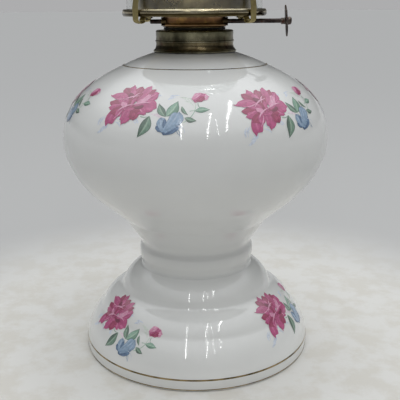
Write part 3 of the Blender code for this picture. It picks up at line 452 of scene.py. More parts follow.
# Each stroke: outline kind, base, tip, width, sideways bend and colours, in millimetres from the rose.
SPRAY = (
    ("wash", (-9, -11), (-15, -19), 3.2, 1.0, WASH_BLUE),
    ("wash", (-12, -8), (-14, -14), 2.2, -1.0, WASH_BLUE),
    ("wash", (-5, -10), (0, -13.5), 2.6, 0.8, WASH_BLUE),
    ("wash", (3, -9), (7, -12), 2.0, 0.5, WASH_BLUE),
    ("wash", (10, 3), (15, 4.5), 3.4, 0.6, WASH_BLUE),
    ("wash", (19, 3.5), (24, 5), 2.6, 0.6, WASH_BLUE),
    ("wash", (13, -7), (18, -9), 2.6, 0.5, WASH_PINK),
    ("wash", (25, 4), (31, 0), 3.0, 1.0, WASH_GREEN),
    ("stem", (7, -7.5), (11.5, -7.2), 0.5, -0.5, LEAF),
    ("stem", (27.5, -10), (33, 0.6), 0.45, -1.6, LEAF_PALE),
    ("stem", (30, -4.0), (32.6, -3.6), 0.4, 0.2, LEAF_PALE),
    ("stem", (34, 0.8), (36, -2.4), 0.45, -0.8, LEAF),
    ("leaf", (11.6, -7.0), (7.4, -18.4), 5.2, 0.9, LEAF),
    ("leaf", (19.2, -7.2), (14.8, 0.4), 3.8, 0.6, LEAF),
    ("leaf", (19.4, -7.0), (24.2, 2.2), 5.4, -0.8, LEAF_PALE),
    ("leaf", (26.2, -1.0), (29.4, -6.2), 1.8, -0.7, LEAF),
    ("leaf", (32.4, -3.8), (39.6, -3.2), 3.2, 0.3, LEAF_PALE),
    ("leaf", (27.8, -7.6), (33.2, -9.2), 2.8, -0.4, LEAF),
    ("petal", (20.2, -14.8), (15.4, -12.2), 3.2, 0.2, BLUE_DARK),
    ("petal", (19.0, -15.0), (17.4, -8.0), 4.0, 0.5, BLUE),
    ("petal", (19.6, -15.8), (19.2, -8.6), 2.2, 0.2, BLUE_DARK),
    ("petal", (18.6, -16.0), (25.6, -11.2), 3.4, -0.6, BLUE_DARK),
    ("petal", (19.2, -15.2), (25.4, -4.6), 6.2, -0.8, BLUE),
    ("stem", (23.4, -12.4), (26.2, -17.0), 0.35, 1.0, BLUE_DARK),
    ("stem", (24.6, -11.8), (28.2, -15.4), 0.35, 1.2, WASH_BLUE),
    ("stem", (25.4, -12.4), (26.6, -16.8), 0.35, -1.2, BLUE_DARK),
    ("petal", (32.0, 2.0), (39.6, 5.2), 4.8, 0.9, ROSE_PALE),
    ("petal", (32.0, 1.8), (37.6, 6.6), 4.0, 0.6, ROSE),
    ("petal", (31.2, 3.0), (35.6, 7.2), 3.0, 0.4, ROSE_PALE),
    ("petal", (33.2, 2.0), (37.4, 4.6), 2.6, -0.4, ROSE_DEEP),
    ("petal", (-1, 1), (-5.2, 11.4), 6.4, 0.9, ROSE),
    ("petal", (-1, 2), (-9.6, 9.4), 5.2, -0.6, ROSE_DEEP),
    ("petal", (0, 1), (-15.2, 3.4), 4.8, -1.2, ROSE),
    ("petal", (-1, 0), (-13.4, -0.8), 4.4, 0.8, ROSE_DEEP),
    ("petal", (-1, 0), (-12.4, -4.2), 4.4, 0.6, ROSE),
    ("petal", (-2, 0), (-9.2, -13.2), 6.2, -1.4, ROSE),
    ("petal", (0, -1), (-1.6, -11.8), 5.4, 0.7, ROSE),
    ("petal", (1, -1), (3.8, -9.6), 5.0, 0.5, ROSE_DEEP),
    ("petal", (2, -2), (13.6, -2.6), 7.4, 1.3, ROSE),
    ("petal", (2, -2), (9.2, -6.2), 5.0, 0.8, ROSE),
    ("petal", (3, 1), (12.8, 7.0), 5.4, -1.0, ROSE),
    ("petal", (3, 2), (11.0, 9.4), 4.6, 0.8, ROSE_DEEP),
    ("petal", (2, 1), (6.4, 11.6), 5.6, -0.7, ROSE),
    ("petal", (0, 2), (1.2, 10.8), 5.2, 0.5, ROSE_DEEP),
    ("petal", (-1, 1), (-3.6, 8.6), 3.8, -0.8, ROSE),
    ("petal", (-2, -2), (-9.8, -7.0), 4.6, 0.6, ROSE_DEEP),
    ("petal", (-2, 0), (-9.4, 3.8), 4.2, 0.9, ROSE),
    ("petal", (1, -3), (6.2, -5.0), 3.6, 0.4, ROSE_DEEP),
    ("petal", (-3, -3), (-5.6, -8.6), 3.6, -0.4, ROSE),
    ("petal", (3, 0), (8.6, 5.4), 3.6, -1.1, ROSE_PALE),
    ("petal", (-1, 0), (-4.0, 5.8), 3.0, -0.7, SHADE),
    ("petal", (1, 0), (3.4, 6.4), 3.0, 0.9, ROSE_DEEP),
    ("petal", (-2, -4.6), (-5.8, -0.6), 2.6, -0.8, ROSE_PALE),
    ("petal", (-1.6, -3), (-1.6, 3.2), 2.8, -0.9, ROSE_DEEP),
    ("petal", (0.8, -2.8), (1.2, 3.0), 2.4, 0.6, ROSE),
    ("petal", (2.4, -3.2), (7.0, -1.4), 2.0, -0.5, SHADE),
    ("petal", (-3.0, -3.6), (2.6, -3.6), 2.2, -0.8, ROSE),
    ("curl", (-6.0, 0.6), (2.8, 4.6), 0.8, 1.0, CURL),
    ("curl", (0.8, -1.4), (9.6, 4.2), 1.1, -0.9, CURL),
    ("curl", (-0.8, 2.4), (2.2, 6.6), 0.7, 0.6, CURL),
    ("curl", (-6.0, -5.6), (0.8, -1.2), 0.8, 0.9, CURL),
    ("curl", (2.2, -0.4), (10.4, 0.2), 0.7, 0.5, CURL),
    ("curl", (-10.6, 1.2), (-4.2, 2.6), 0.5, -0.4, CURL),
    ("curl", (-6.6, -10.0), (-3.4, -4.6), 0.5, -0.5, CURL),
)
STROKE_ROWS = {"petal": (14, 12), "leaf": (12, 8), "wash": (8, 3), "stem": (8, 2), "curl": (10, 2)}
LAYER_BASE = 0.05
LAYER_STEP = 0.005
WASH_SLIVERS = 4
SHOWS_THROUGH = 0.075
STIPPLE_SIZE = 1.11
# Each transfer: degrees round from the front, distance down the glaze, tilt and share of full width.
TRANSFERS = (
    ("bulb_spray_1", -89.0, 48.5, 1.0, 1.0), ("bulb_spray_2", -29.0, 47.1, 0.0, 1.0),
    ("bulb_spray_3", 31.1, 50.4, 4.0, 1.0), ("bulb_spray_4", 91.0, 48.8, 2.0, 1.0),
    ("bulb_spray_5", 151.5, 50.0, -1.0, 1.0), ("bulb_spray_6", 211.0, 48.0, 2.0, 1.0),
    ("foot_spray_1", -56.0, 202.2, -11.0, 0.9), ("foot_spray_2", 54.4, 200.8, -2.0, 0.9),
    ("foot_spray_3", 179.0, 201.9, -9.0, 0.9),
)


def stroke_half_width(kind, u):
    if kind == "leaf":
        return math.sin(math.pi * u ** 0.85) ** 1.15
    if kind == "stem":
        return 1.0 - 0.5 * u
    if kind in ("wash", "curl"):
        return math.sin(math.pi * (0.06 + 0.88 * u))
    return math.sin(math.pi * (0.12 + 0.88 * u) ** 2.1) ** 0.38 + 0.12 * (1 - u)


def stroke_colour(kind, u, v, colours, seed):
    """Blends a stroke's deep, middle, light and edge colours the way a printed brush mark is shaded."""
    deep, middle, light, edge = colours
    streak = 0.5 + 0.9 * noise.noise(Vector((1.6 * u, 3.2 * v, seed * 3)))
    if kind == "leaf":
        rib = max(0.0, 1 - abs(v) * 7)
        vein = max(0.0, math.sin(26 * u - 9 * abs(v))) ** 3 * (1 - abs(v)) * 0.6
        blend = deep.lerp(middle, min(1, max(0, (0.75 if v > 0 else 0.1) + 0.4 * streak)))
        blend = blend.lerp(light, min(1, 0.7 * rib + vein * (1 if v > 0 else 0.5)))
        return blend.lerp(edge, min(1, max(0.0, abs(v) - 0.8) * 3.0 + max(0.0, u - 0.8) * 3))
    if kind in ("stem", "wash", "curl"):
        return middle.lerp(light, min(1, max(0, streak)))
    fine = 0.5 + noise.noise(Vector((2.5 * u, 9.0 * v, seed * 5 + 9)))
    blend = deep.lerp(middle, min(1, max(0, 0.55 * streak + 0.45 * fine + 0.5 * u - 0.15)))
    shine = min(1, max(0, 1.4 * (fine - 0.55) + 0.9 * (streak - 0.6)))
    blend = blend.lerp(light, shine * math.sin(math.pi * u))
    rim = max(0.0, abs(v) - 0.82) * 3.2 + max(0.0, u - 0.88) * 4
    return blend.lerp(edge, min(0.8, rim * (0.4 + fine)))


def brush_stroke(shape, paint, kind, base, tip, width, bend, colours, lift, land, seed):
    """One printed mark as a thin patch of grid that follows the glaze, coloured at each vertex."""
    rows, columns = STROKE_ROWS[kind]
    start, along = Vector(base), Vector(tip) - Vector(base)
    across = Vector((-along.y, along.x)).normalized()
    ragged = 0.24 if kind == "petal" else 0.0
    grid = []
    for i in range(rows + 1):
        u = i / rows
        row = []
        for k in range(columns + 1):
            v = 2 * k / columns - 1
            reach = u * (1 + ragged * (noise.noise(Vector((2.6 * v, seed, 0))) - 0.2 * v * v))
            wobble = 1 + 1.4 * ragged * noise.noise(Vector((3 * u, v, seed)))
            half = width / 2 * stroke_half_width(kind, u) * wobble
            point = start + along * reach + across * (bend * math.sin(math.pi * u) + half * v)
            vert = shape.verts.new(land(point.x, point.y, lift - 0.012 * abs(v) ** 3))
            vert[paint] = (*stroke_colour(kind, u, v, colours, seed), 1.0)
            row.append(vert)
        grid.append(row)
    for upper, lower in zip(grid, grid[1:]):
        for k in range(columns):
            shape.faces.new((upper[k], upper[k + 1], lower[k + 1], lower[k]))


def spray_mapping(azimuth, distance, tilt, share):
    """Where a point of the flat transfer lands on the lamp once it is slid into place."""
    reference = on_outside(distance, 0)[0]
    cosine, sine = math.cos(math.radians(tilt)), math.sin(math.radians(tilt))

    def land(x, y, lift):
        across, up = x * cosine - y * sine, x * sine + y * cosine
        radius, height = on_outside(distance - up, lift)
        angle = math.radians(azimuth - 90) + across * share / reference
        return radius * math.cos(angle), radius * math.sin(angle), height

    return land


# Ceramic enamel sunk into the glaze: colours as glossy as the white round them, with a fine printed grain.
# The dots of the real print are finer than this stipple, which is as fine as shows.
transfer, tree, shader = new_material("fired_transfer", "#b0507a", 0.1, ior=1.52)
shader.inputs["Coat Weight"].default_value = 0.35
shader.inputs["Coat Roughness"].default_value = 0.03
paint_colour = add_node(tree, "VertexColor", {"layer_name": "paint"})
place = add_node(tree, "TexCoord").outputs["Object"]
stipple = add_node(tree, "TexNoise",
                   inputs={"Vector": place, "Scale": 1 / (STIPPLE_SIZE * MM), "Detail": 2.0})
grain = add_node(tree, "MapRange", inputs={"Value": stipple, "From Min": 0.3, "From Max": 0.7,
                                           "To Min": 0.9, "To Max": 1.2})
stippled = add_node(tree, "Mix", {"data_type": "RGBA", "blend_type": "MULTIPLY"},
                    {"Factor": 1.0, 6: paint_colour, 7: grain})
thin = add_node(tree, "Mix", {"data_type": "RGBA"},
                {"Factor": SHOWS_THROUGH, 6: stippled, 7: linear("#f2e8f2")})
feed(tree, shader.inputs["Base Color"], thin)

for name, azimuth, distance, tilt, share in TRANSFERS:
    dice = random.Random(5)
    shape = bmesh.new()
    paint = shape.verts.layers.float_color.new("paint")
    land = spray_mapping(azimuth, distance, tilt, share)
    for layer, (kind, base, tip, width, bend, colours) in enumerate(SPRAY):
        hues = [Vector(linear(c)[:3]) for c in colours]
        lift = LAYER_BASE + LAYER_STEP * layer
        if kind != "wash":
            brush_stroke(shape, paint, kind, base, tip, width, bend, hues, lift, land, dice.uniform(0, 60))
            continue
        for sliver in range(WASH_SLIVERS):
            side = Vector((dice.uniform(-0.5, 0.5), dice.uniform(-0.5, 0.5))) * width
            start = Vector(base).lerp(Vector(tip), dice.uniform(0, 0.3)) + side
            stop = Vector(base).lerp(Vector(tip), dice.uniform(0.6, 1)) + side
            brush_stroke(shape, paint, kind, start, stop, width * 0.32, bend, hues, LAYER_BASE, land,
                         sliver + 1)
    spray = finish_mesh(name, shape, transfer, sharp=60)
    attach(spray, "lamp_base")


# Collar: thin brass pressed to a cap, spun out to a skirt at the foot and set on the neck with plaster.
# It has gone olive grey with age, browner and greener near the porcelain where oil has lain. Its bottom
# edge is lighter, and a painted highlight runs along the bead.
collar_low, collar_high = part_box("collar")
COLLAR_RADIUS = 21.8
COLLAR_SHEET = 0.7
COLLAR_THREAD = 15.65
SCREW_THREAD = 15.2
THREAD_PITCH = 1.8
THREAD_DEPTH = 0.6
THREAD_TOP = collar_high.z / MM - 0.6
THREAD_BOTTOM = THREAD_TOP - 7.2
THREAD_STEPS = 96
# Scratches are drawn 16.7 mm long and 0.385 mm apart: the real ones lie closer, but wouldn't show.
SCRATCHES = (1 / (16.7 * MM), 1 / (16.7 * MM), 1 / (0.385 * MM))


def old_brass(name, bright, dull, stain, roughness, patch, stain_share, bands=None):
    """Brass with clouds of tarnish, of a patch size in millimetres, stains a third of that size, fine
    scratches round it and worn gloss. bands gives a low and a high height and the tints between them,
    for tints that follow the height: heat, stains, and painted highlights and shade."""
    made, tree, shader = new_material(name, bright, roughness, metallic=1.0)
    place = add_node(tree, "TexCoord").outputs["Object"]
    clouds = add_node(tree, "TexNoise",
                      inputs={"Vector": place, "Scale": 1 / (patch * MM), "Detail": 5.0, "Roughness": 0.6})
    tarnish = add_node(tree, "ValToRGB", inputs={"Fac": clouds}, stops=((0.38, dull), (0.66, bright)))
    spots = add_node(tree, "TexNoise", inputs={"Vector": place, "Scale": 3 / (patch * MM), "Detail": 4.0})
    spotted = add_node(tree, "MapRange", inputs={"Value": spots, "From Min": stain_share,
                                                 "From Max": stain_share + 0.16})
    surface = add_node(tree, "Mix", {"data_type": "RGBA"}, {"Factor": spotted, 6: tarnish, 7: linear(stain)})
    if bands:
        height = add_node(tree, "SeparateXYZ", inputs={0: place}).outputs["Z"]
        level = add_node(tree, "MapRange",
                         inputs={"Value": height, "From Min": bands[0] * MM, "From Max": bands[1] * MM})
        tint = add_node(tree, "ValToRGB", inputs={"Fac": level}, stops=bands[2:])
        surface = add_node(tree, "Mix", {"data_type": "RGBA", "blend_type": "MULTIPLY"},
                           {"Factor": 1.0, 6: surface, 7: tint})
    feed(tree, shader.inputs["Base Color"], surface)
    gloss = add_node(tree, "MapRange", inputs={"Value": clouds, "From Min": 0.3, "From Max": 0.7,
                                               "To Min": roughness + 0.14, "To Max": roughness - 0.06})
    feed(tree, shader.inputs["Roughness"], gloss)
    stretch = add_node(tree, "Mapping", inputs={"Vector": place, "Scale": SCRATCHES})
    lines = add_node(tree, "TexNoise", inputs={"Vector": stretch, "Scale": 1.0, "Detail": 2.0})
    bump = add_node(tree, "Bump", inputs={"Strength": 0.25, "Distance": 0.08 * MM, "Height": lines})
    feed(tree, shader.inputs["Normal"], bump)
    return made


def thread_shift(surface_radius):
    """Moves points on one cylinder out and in along a right-hand helix, fading at the thread's ends."""
    def shift(radius, height, angle):
        if abs(radius - surface_radius) > 0.01 or not THREAD_BOTTOM < height < THREAD_TOP:
            return radius
        fade = THREAD_PITCH * 0.4
        strength = min(1, (height - THREAD_BOTTOM) / fade, (THREAD_TOP - height) / fade)
        return radius + THREAD_DEPTH / 2 * strength * math.cos(math.tau * height / THREAD_PITCH - angle)
    return shift


def thread_rows(radius, rising):
    heights = [THREAD_BOTTOM + (THREAD_TOP - THREAD_BOTTOM) * i / 48 for i in range(49)]
    return [(radius, height) for height in (heights if rising else reversed(heights))]


def dented(size, scale):
    """Small uneven dents, as thin pressed metal gets from years of handling."""
    def shift(radius, height, angle):
        spot = Vector((math.cos(angle) * radius, math.sin(angle) * radius, height)) * scale
        return radius + size * noise.noise(spot)
    return shift


low, high = collar_low.z / MM, collar_high.z / MM
# Height tints: lighter bottom edge, browner below the bead, a painted highlight band at the bead, greyer
# above.
aged_brass = old_brass("aged_brass_collar", "#a8a289", "#4f4c3d", "#5c4434",
                       roughness=0.28, patch=14.3, stain_share=0.56,
                       bands=(low, high, (0, "#ffffff"), (0.1, "#ffffff"), (0.15, "#c4b6a6"),
                              (0.45, "#e6dac8"),
                              (0.5, "#ffffff"), (0.6, "#e6e6e0"), (1, "#dfe2d8")))
bead = low + 5.8
collar_outside = [(COLLAR_THREAD + 0.4, high), (COLLAR_RADIUS - 1.0, high)]
collar_outside += arc((COLLAR_RADIUS - 0.9, high - 0.9), (0.9, 0.9), 90, 0, 5)
collar_outside += [(COLLAR_RADIUS - 0.1, high - 2.4), (COLLAR_RADIUS - 0.15, high - 3.6),
                   (COLLAR_RADIUS, bead + 0.9)]
collar_outside += arc((COLLAR_RADIUS - 0.05, bead), (0.4, 0.6), 80, -80, 6)
collar_outside += smooth_through([(COLLAR_RADIUS, bead - 0.9), (COLLAR_RADIUS + 0.05, low + 3.4),
                                  (COLLAR_RADIUS + 0.7, low + 1.7), (COLLAR_RADIUS + 1.6, low + 0.7)], 4)
collar_outside += arc((COLLAR_RADIUS + 1.3, low + 0.35), (0.35, 0.35), 20, -90, 4)
collar_inside = [(COLLAR_RADIUS + 0.9, low), (COLLAR_RADIUS - COLLAR_SHEET, low + 3.2),
                 (COLLAR_RADIUS - COLLAR_SHEET, high - COLLAR_SHEET)]
collar_inside += [(COLLAR_THREAD + 1, high - COLLAR_SHEET), (COLLAR_THREAD + 1, THREAD_BOTTOM - 0.5),
                  (COLLAR_THREAD, THREAD_BOTTOM - 0.5)]


def collar_shift(radius, height, angle):
    if radius < COLLAR_RADIUS - 2:
        return thread_shift(COLLAR_THREAD)(radius, height, angle)
    return dented(0.22, 0.16)(radius, height, angle)


collar_line = collar_outside + collar_inside + thread_rows(COLLAR_THREAD, True)
collar = turned("pressed_collar", collar_line, aged_brass, steps=THREAD_STEPS, shift=collar_shift)
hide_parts("collar")
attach(collar, "lamp_base")


# Collar plaster: plaster of Paris poured in wet between collar and neck, where it set hard and holds the
# collar on. It is dry, chalky and open-pored.
plaster, tree, shader = new_material("plaster_of_paris", "#d8d2c4", 0.9)
cloudy(tree, shader, size=1.43, detail=6.0, stops=((0.35, "#bdb6a6"), (0.65, "#e2ddd0")),
       relief=(1.43, 6.0, 0.6, 0.3))
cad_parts["collar_plaster"].material_slots[0].material = plaster


# Gasket: a washer punched from black rubber sheet and squeezed between the burner's flange and the collar.
# Age and lamp dust have left it dull.
gasket_low, gasket_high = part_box("burner_gasket")
WASHER_EDGE = 0.3
WASHER_WIDTH = 1.5
gasket_rubber, tree, shader = new_material("washer_rubber", "#1b1a19", 0.7)
cloudy(tree, shader, size=2.38, detail=5.0, stops=((0.4, "#151413"), (0.75, "#34312d")))
low, high, outer = gasket_low.z / MM, gasket_high.z / MM, gasket_high.x / MM
washer_line = arc((outer - WASHER_EDGE, high - WASHER_EDGE), (WASHER_EDGE, WASHER_EDGE), 90, 0, 4)
washer_line += arc((outer - WASHER_EDGE, low + WASHER_EDGE), (WASHER_EDGE, WASHER_EDGE), 0, -90, 4)
washer_line += [(outer - WASHER_WIDTH, low), (outer - WASHER_WIDTH, high)]
washer = turned("rubber_washer", washer_line, gasket_rubber)
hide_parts("burner_gasket")
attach(washer, "burner_seal")


# Screw of the burner: a drawn brass tube with a rolled thread under a flat flange, brighter than the
# outside of the burner, because the collar keeps it from the air.
base_low, base_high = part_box("threaded_base")
SCREW_BORE = 14.2
SCREW_FLANGE = 0.7
screw_brass = old_brass("screw_brass", "#b9a676", "#8a7a52", "#5d5038",
                        roughness=0.26, patch=11.1, stain_share=0.62)
low, high, flange = base_low.z / MM, base_high.z / MM, base_high.x / MM
screw_line = [(SCREW_BORE, high), (flange - 0.2, high), (flange, high - 0.2), (flange, high - SCREW_FLANGE)]
screw_line += [(SCREW_THREAD, high - SCREW_FLANGE)] + thread_rows(SCREW_THREAD, False)
screw_line += [(SCREW_THREAD, low), (SCREW_BORE, low)]
screw = turned("burner_screw", screw_line, screw_brass, steps=THREAD_STEPS, shift=thread_shift(SCREW_THREAD))
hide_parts("threaded_base")
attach(screw, "burner")


# Drum: the brass cup round the spur wheels, once copper-washed; the wash has turned brown. Its tints
# by height paint a highlight on the top lip and run darker through the middle and lighter low down.
drum_low, drum_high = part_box("drum_shell")
DRUM_RADIUS = 17.7
DRUM_WALL = 0.7
shaft_low, shaft_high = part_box("winder_shaft")
shaft_middle = (shaft_low + shaft_high) / 2
SHAFT_PLACE = Vector((0, shaft_middle.y, shaft_middle.z)) / MM
SHAFT_RADIUS = (shaft_high.z - shaft_low.z) / MM / 2
BUSH_RADIUS = 2.0
SHAFT_WAY_RADIUS = BUSH_RADIUS + 0.3
SHAFT_WAY_REACH = 22

low, high = drum_low.z / MM, drum_high.z / MM
# Height tints: a painted highlight on the top lip, darker through the middle, lighter low down.
copper = old_brass("copper_washed_brass", "#bc9c78", "#8c7258", "#c8ac74",
                   roughness=0.27, patch=14.3, stain_share=0.58,
                   bands=(low, high, (0, "#ece2d0"), (0.4, "#f4ead6"), (0.5, "#ccb8a4"), (0.8, "#ccb8a4"),
                          (0.88, "#ffffff")))
drum_line = [(DRUM_RADIUS - DRUM_WALL, high), (DRUM_RADIUS, high)]
drum_line += arc((DRUM_RADIUS, high - 0.4), (0.35, 0.4), 90, -80, 6)
drum_line += [(DRUM_RADIUS - 0.1, high - 1.1), (DRUM_RADIUS - 0.15, high - 2.2),
              (DRUM_RADIUS - 0.15, low + 2.5)]
drum_line += arc((DRUM_RADIUS - 0.5, low + 1.1), (0.9, 1.1), 60, -90, 8)
drum_line += [(DRUM_RADIUS - DRUM_WALL, low)]
drum = turned("copper_drum", drum_line, copper)


def cut_with(target, punch):
    """Cuts the punch's shape out of the target, then removes the punch."""
    boolean = target.modifiers.new("cut", "BOOLEAN")
    boolean.operation = "DIFFERENCE"
    boolean.solver = "EXACT"
    boolean.object = punch
    bpy.context.view_layer.update()
    graph = bpy.context.evaluated_depsgraph_get()
    mesh = bpy.data.meshes.new_from_object(target.evaluated_get(graph))
    target.modifiers.clear()
    target.data = mesh
    mesh.shade_smooth()
    mesh.set_sharp_from_angle(angle=math.radians(35))
    bpy.data.objects.remove(punch)


def along_x(made, centre):
    """Lays a piece that was turned round Z along the winder's axis instead."""
    made.data.transform(Matrix.Translation(centre * MM) @ Matrix.Rotation(math.radians(90), 4, "Y"))
    return made


way_line = [(0, SHAFT_WAY_REACH), (SHAFT_WAY_RADIUS, SHAFT_WAY_REACH)]
way_line += [(SHAFT_WAY_RADIUS, -SHAFT_WAY_REACH), (0, -SHAFT_WAY_REACH)]
shaft_way = turned("shaft_way", way_line, copper, steps=32, closed=False)
cut_with(drum, along_x(shaft_way, SHAFT_PLACE))
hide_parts("drum_shell")
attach(drum, "burner")


# Shaft bushes: small turned brass eyelets pressed into the drum's wall for the winder to run in.
# Oil creeping along the shaft has browned them nearly black.
eyelet_brass = old_brass("browned_eyelet_brass", "#6a5a3e", "#41352a", "#2b231d",
                         roughness=0.4, patch=8.33, stain_share=0.55)
BUSH_BORE = SHAFT_RADIUS + 0.25
EYELET_FLANGE = 0.7
for side in ("left", "right"):
    node = f"shaft_bush_{side}"
    low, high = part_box(node)
    inner, outer = (low.x / MM, high.x / MM) if side == "right" else (-high.x / MM, -low.x / MM)
    flange = (high.z - low.z) / MM / 2
    line = [(BUSH_BORE, outer - 0.2), (BUSH_BORE + 0.2, outer), (flange - 0.2, outer), (flange, outer - 0.2)]
    line += [(flange, outer - EYELET_FLANGE), (BUSH_RADIUS, outer - EYELET_FLANGE), (BUSH_RADIUS, inner)]
    line += [(BUSH_BORE, inner)]
    bush = turned(f"{side}_eyelet", line, eyelet_brass, steps=32)
    if side == "left":
        bush.data.transform(Matrix.Rotation(math.pi, 4, "Y"))
    along_x(bush, SHAFT_PLACE)
    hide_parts(node)
    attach(bush, "burner")


# Air pan: a disc of thin brass with two rings of punched air holes; it carries the glass. Oil and
# lamp black have left it olive brown, with gold where the glass and the prongs rub it.
pan_low, pan_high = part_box("air_pan")
PAN_RADIUS = pan_high.x / MM
PAN_TOP = pan_high.z / MM
PAN_BOTTOM = pan_low.z / MM
PAN_HOLES = 20
PAN_HOLE_RADIUS = 1.5
PAN_HOLE_RINGS = (23.6, 27.9)
RIVET_RING = 34.1
RIVET_HOLE = 1.0
PRONG_ANGLES = (-139, -41, 41, 139)

olive_brass = old_brass("olive_brass_burner", "#9c8f68", "#635a40", "#403a28",
                        roughness=0.3, patch=20.0, stain_share=0.58)
pan_line = [(SCREW_BORE, PAN_TOP), (PAN_RADIUS, PAN_TOP), (PAN_RADIUS, PAN_BOTTOM), (SCREW_BORE, PAN_BOTTOM)]
pan = turned("punched_air_pan", pan_line, olive_brass)


def rods(name, places, low, high):
    """Upright closed rods, for cutting holes; each place is (radius, x, y)."""
    shape = bmesh.new()
    for radius, x, y in places:
        spot = Matrix.Translation(((x, y, (low + high) / 2)))
        bmesh.ops.create_cone(shape, cap_ends=True, segments=20, radius1=radius, radius2=radius,
                              depth=high - low, matrix=spot)
    return finish_mesh(name, shape, olive_brass)


holes = []
for i in range(PAN_HOLES):
    angle = math.tau * (i + 0.5) / PAN_HOLES
    ring = PAN_HOLE_RINGS[1] if i % 2 else PAN_HOLE_RINGS[0]
    holes.append((PAN_HOLE_RADIUS, ring * math.cos(angle), ring * math.sin(angle)))
for degrees in PRONG_ANGLES:
    angle = math.radians(degrees)
    holes.append((RIVET_HOLE, RIVET_RING * math.cos(angle), RIVET_RING * math.sin(angle)))
cut_with(pan, rods("pan_punches", holes, PAN_BOTTOM - 1, PAN_TOP + 1))
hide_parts("air_pan")
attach(pan, "burner")


# Gallery ring: the pan's edge rolled round a wire into a tall bead. Light is painted on it by height:
# a painted highlight on the crown, painted shade across the middle and underside with a lighter line
# low down. The bead wanders a little where it has been knocked.
ring_low, ring_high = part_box("gallery_ring")
low, high, outer = ring_low.z / MM, ring_high.z / MM, ring_high.x / MM
RING_HALF = (0.95, (high - low) / 2)
RING_LIFT = 0.6
# Height tints paint the light on the bead: a painted highlight on the crown, painted shade below it.
tarnished_brass_painted_light = old_brass("tarnished_bead_brass_painted_light", "#e6dcc0", "#a89c7c", "#6b6248",
                         roughness=0.2, patch=16.7, stain_share=0.64,
                         bands=(low, high, (0, "#5a5038"), (0.2, "#8c8468"), (0.4, "#4a4434"),
                                (0.56, "#5a5340"),
                                (0.66, "#ffffff")))
ring = turned("gallery_bead",
              arc((outer - RING_HALF[0], (low + high) / 2 + RING_LIFT), RING_HALF, 90, -270, 24)[:-1],
              tarnished_brass_painted_light, shift=dented(0.18, 0.12))
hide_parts("gallery_ring")
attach(ring, "burner")


# Chimney prongs: four strips of hard spring brass riveted under the pan, bent down round the bead and up
# the glass. They have never been polished and are a flat mustard olive.
PRONG_WIDTH = 4.7
PRONG_SHEET = 0.5
PRONG_CROWN = 0.12
PRONG_COLUMNS = 6
prong_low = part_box("chimney_prong_1")[0]
rivet_low, rivet_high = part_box("prong_rivet_1")
LOOP_BOTTOM = prong_low.z / MM + PRONG_SHEET / 2
PRONG_TOP = PAN_TOP + 20
spring_brass = old_brass("mustard_spring_brass", "#c4b684", "#9b8e60", "#665e3c",
                         roughness=0.48, patch=18.2, stain_share=0.6)


def prong_side():
    """The prong's middle line from its riveted foot, round the spring loop and up to the tip."""
    foot = PAN_BOTTOM - 0.55
    line = [(32.1, foot), (33.4, foot), (34.6, foot), (35.5, foot), (36.1, foot - 0.45), (36.6, foot - 1.4)]
    line += arc((38.15, LOOP_BOTTOM + 2.2), (2.6, 2.2), 225, 360, 14)
    return line + smooth_through([(40.75, PAN_TOP + 1.4), (40.75, PAN_TOP + 4.5), (38.95, PRONG_TOP - 6.5),
                                  (38.35, PRONG_TOP - 4.6), (38.85, PRONG_TOP - 2.8), (40.35, PRONG_TOP)], 5)


def prong_half_width(index, count):
    """Square at the foot with its first edge a little narrower, full width along the rest, and cut to a
    round tip.
    """
    left = (count - 1 - index) / 4
    tip = math.sqrt(max(0.0, 1 - (1 - left) ** 2)) if left < 1 else 1.0
    return PRONG_WIDTH / 2 * max(0.35, tip) * (0.8 if index == 0 else 1.0)


def skinned(name, shape, loops, material, sharp):
    """Joins closed loops of points one after another and closes both ends."""
    for one, two in zip(loops, loops[1:]):
        for k in range(len(one)):
            n = (k + 1) % len(one)
            shape.faces.new((one[k], one[n], two[n], two[k]))
    shape.faces.new(loops[0])
    shape.faces.new(loops[-1])
    return finish_mesh(name, shape, material, sharp=sharp)


def strip(name, line, material, half_width, sheet):
    """A flat strip along a line, with thickness, softened edges and a slight crown across it."""
    shape = bmesh.new()
    loops = []
    for i, (radius, height) in enumerate(line):
        before, after = Vector(line[max(i - 1, 0)]), Vector(line[min(i + 1, len(line) - 1)])
        along = (after - before).normalized()
        outward = Vector((along.y, -along.x))
        half = half_width(i, len(line))
        loop = []
        for side in (1, -1):
            for k in range(PRONG_COLUMNS + 1):
                v = side * (1 - 2 * k / PRONG_COLUMNS)
                softened = 0.55 if k in (0, PRONG_COLUMNS) else 1.0
                thick = side * sheet / 2 * softened + PRONG_CROWN * (1 - v * v)
                point = Vector((radius, height)) + outward * thick
                loop.append(shape.verts.new((point.x, v * half, point.y)))
        loops.append(loop)
    return skinned(name, shape, loops, material, 40)


line = prong_side()
for i, degrees in enumerate(PRONG_ANGLES):
    prong = strip(f"spring_prong_{i + 1}", line, spring_brass, prong_half_width, PRONG_SHEET)
    cut_with(prong, rods("rivet_way", [(RIVET_HOLE, RIVET_RING, 0)], PAN_BOTTOM - 4, PAN_BOTTOM + 2))
    prong.data.transform(Matrix.Rotation(math.radians(degrees), 4, "Z"))
    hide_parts(f"chimney_prong_{i + 1}")
    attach(prong, "burner")


